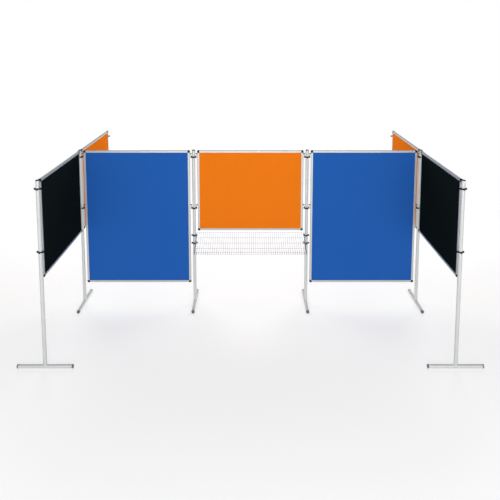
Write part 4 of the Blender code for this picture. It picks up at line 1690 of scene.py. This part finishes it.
@dataclass
class Studio:
    """A white floor and surround, soft light and the camera.

    Args:
        camera_place: The camera's place.
        pitch: How far it looks down, in degrees.
        focal_pixels: Its focal length in pixels.
        image_pixels: The picture's width in pixels.
        shift_share: The lens's upward shift, as a share of the picture.
        floor_bounce: The floor's grey for the light that it throws back.
        floor_grey: The floor's grey as it is seen, under its glow.
        floor_fade: Distances from the middle between which the seen floor turns white.
        ceiling: Heights between which reflections of the room grey, as a share of the sphere.
        walls: The same to either side.
        wall_share: How much of the grey the walls get.
        room_grey: The grey of the room in reflections.
        overhead_grey: The grey of the light from above.
        soft_light: Strength of the surround's light.
    """

    camera_place: Triple = (-0.0038, -6.019, 3.053)
    pitch: float = 6.530
    focal_pixels: float = 564.6
    image_pixels: float = 500.0
    sensor_width: float = 36.0
    view_depth: float = 200.0
    shift_share: float = -0.312
    floor_size: float = 60.0
    floor_bounce: float = 0.86
    floor_grey: float = 0.50
    floor_glow: float = 0.56
    floor_fade: Pair = (2.6, 5.5)
    ceiling: Pair = (0.06, 0.50)
    walls: Pair = (0.35, 0.75)
    wall_share: float = 0.9
    room_grey: float = 0.22
    overhead_grey: float = 0.62
    soft_light: float = 0.50
    lamps: tuple[Lamp, ...] = (
        Lamp("key_light", (1.2, -7.5, 2.9), (0.0, 0.2, 1.0), 4.0, 186.0),
        Lamp("fill_light", (-0.8, -7.5, 2.6), (0.0, 0.2, 1.0), 4.0, 155.0),
        Lamp("back_light_left", (-3.0, 4.2, 3.0), (1.6, 0.5, 1.2), 3.0, 145.0, mirrored=False),
        Lamp("back_light_right", (3.0, 4.2, 3.0), (-1.6, 0.5, 1.2), 3.0, 145.0, mirrored=False),
    )

    def build(self) -> None:
        """Builds the floor, the world, the lamps and the camera."""
        self.floor()
        self.world()
        for lamp in self.lamps:
            lamp.hang()
        self.camera()

    @staticmethod
    def rays(graph: Graph, *kinds: str) -> Socket:
        """Whether a ray is of one of the kinds named.

        Args:
            graph: The tree's graph.
            kinds: Names of ray kinds.

        Returns:
            The socket of 0 or 1.
        """
        path = graph.add("ShaderNodeLightPath").outputs
        found = path["Is " + kinds[0] + " Ray"]
        for kind in kinds[1:]:
            found = graph.maths("MAXIMUM", found, path["Is " + kind + " Ray"])
        return found

    def floor(self) -> None:
        """The floor, which keeps the wall's soft shadow and fades to white further off."""
        mesh = bpy.data.meshes.new("floor")
        far = self.floor_size / 2
        mesh.from_pydata([(-far, -far, 0), (far, -far, 0), (far, far, 0), (-far, far, 0)], [], [(0, 1, 2, 3)])
        piece = bpy.data.objects.new("floor", mesh)
        bpy.context.scene.collection.objects.link(piece)
        material = bpy.data.materials.new("white_floor")
        material.use_nodes = True
        graph = Graph(material.node_tree)
        pale = graph.add("ShaderNodeBsdfDiffuse", {"Color": grey(self.floor_bounce)}).outputs[0]
        matt = graph.add("ShaderNodeBsdfDiffuse", {"Color": grey(self.floor_grey)}).outputs[0]
        glow = graph.add("ShaderNodeEmission", {"Color": grey(1.0), "Strength": self.floor_glow}).outputs[0]
        near = graph.add("ShaderNodeAddShader", {0: matt, 1: glow}).outputs[0]
        white = graph.add("ShaderNodeEmission", {"Color": grey(1.0), "Strength": 1.0}).outputs[0]
        place = graph.add("ShaderNodeTexCoord").outputs["Object"]
        away = graph.add("ShaderNodeVectorMath", {0: place}, operation="LENGTH").outputs["Value"]
        shown = graph.blended(graph.ranged(away, *self.floor_fade, 0.0, 1.0), near, white)
        seen = self.rays(graph, "Camera", "Transmission", "Glossy")
        graph.add("ShaderNodeOutputMaterial", {"Surface": graph.blended(seen, pale, shown)})
        mesh.materials.append(material)

    def world(self) -> None:
        """A white surround that greys towards the ceiling and the walls in reflections."""
        world = bpy.data.worlds.new("studio")
        bpy.context.scene.world = world
        world.use_nodes = True
        graph = Graph(world.node_tree)
        place = graph.add("ShaderNodeTexCoord").outputs["Generated"]
        way = graph.add("ShaderNodeSeparateXYZ", {0: place}).outputs
        rise = graph.ranged(way[2], *self.ceiling, 0.0, 1.0)
        aside = graph.ranged(graph.maths("ABSOLUTE", way[0]), *self.walls, 0.0, self.wall_share)
        room_tone = graph.mixed(graph.maths("MAXIMUM", rise, aside), grey(1.0), grey(self.room_grey))
        soft_tone = graph.mixed(rise, grey(1.0), grey(self.overhead_grey))
        tones = ((grey(1.0), 1.0), (room_tone, 1.0), (soft_tone, self.soft_light))
        white, room, soft = (
            graph.add("ShaderNodeBackground", {"Color": tone, "Strength": strength}).outputs[0]
            for tone, strength in tones
        )
        unseen = graph.blended(self.rays(graph, "Glossy"), soft, room)
        shown = graph.blended(self.rays(graph, "Camera", "Transmission"), unseen, white)
        graph.add("ShaderNodeOutputWorld", {"Surface": shown})

    def camera(self) -> None:
        """The camera at the photograph's place, looking slightly down with a shifted lens."""
        data = bpy.data.cameras.new("camera")
        data.sensor_width = self.sensor_width
        data.lens = self.sensor_width * self.focal_pixels / self.image_pixels
        data.shift_y = self.shift_share
        data.clip_end = self.view_depth
        camera = bpy.data.objects.new("camera", data)
        bpy.context.scene.collection.objects.link(camera)
        camera.location = self.camera_place
        camera.rotation_euler = (math.radians(90.0 - self.pitch), 0.0, 0.0)
        bpy.context.scene.camera = camera


def main() -> None:
    """Builds the wall and the studio."""
    logging.basicConfig(level=logging.INFO, format="%(message)s")
    bpy.context.scene.view_settings.view_transform = "Standard"
    Effects.build()
    Repeats.build()
    posts = (
        Post("near_left", "left_wing", Lay.ACROSS),
        Post("corner_left", "left_bay", Lay.ALONG),
        Post("centre_left", "centre_bay", Lay.ALONG),
        Post("centre_right", "centre_bay", Lay.ALONG),
        Post("corner_right", "right_bay", Lay.ALONG),
        Post("near_right", "right_wing", Lay.ACROSS),
    )
    for post in posts:
        post.build()
        for level in LEVELS:
            Ring("ring_" + post.name + "_" + level, post.body).build()
    for side in Side:
        for level in LEVELS:
            Ring("rack_ring_" + side.label + "_" + level, "rack").build()
    boards = (
        Board("near_left", "left_wing", BLACK_FELT),
        Board("tall_left", "left_bay", BLUE_FELT),
        Board("rear_left", "left_rear", ORANGE_FELT, free_end=True),
        Board("centre", "centre_board", ORANGE_FELT),
        Board("tall_right", "right_bay", BLUE_FELT),
        Board("rear_right", "right_rear", ORANGE_FELT, free_end=True),
        Board("near_right", "right_wing", BLACK_FELT),
    )
    for board in boards:
        board.build()
    Rack().build()
    Studio().build()


if __name__ == "__main__":
    main()
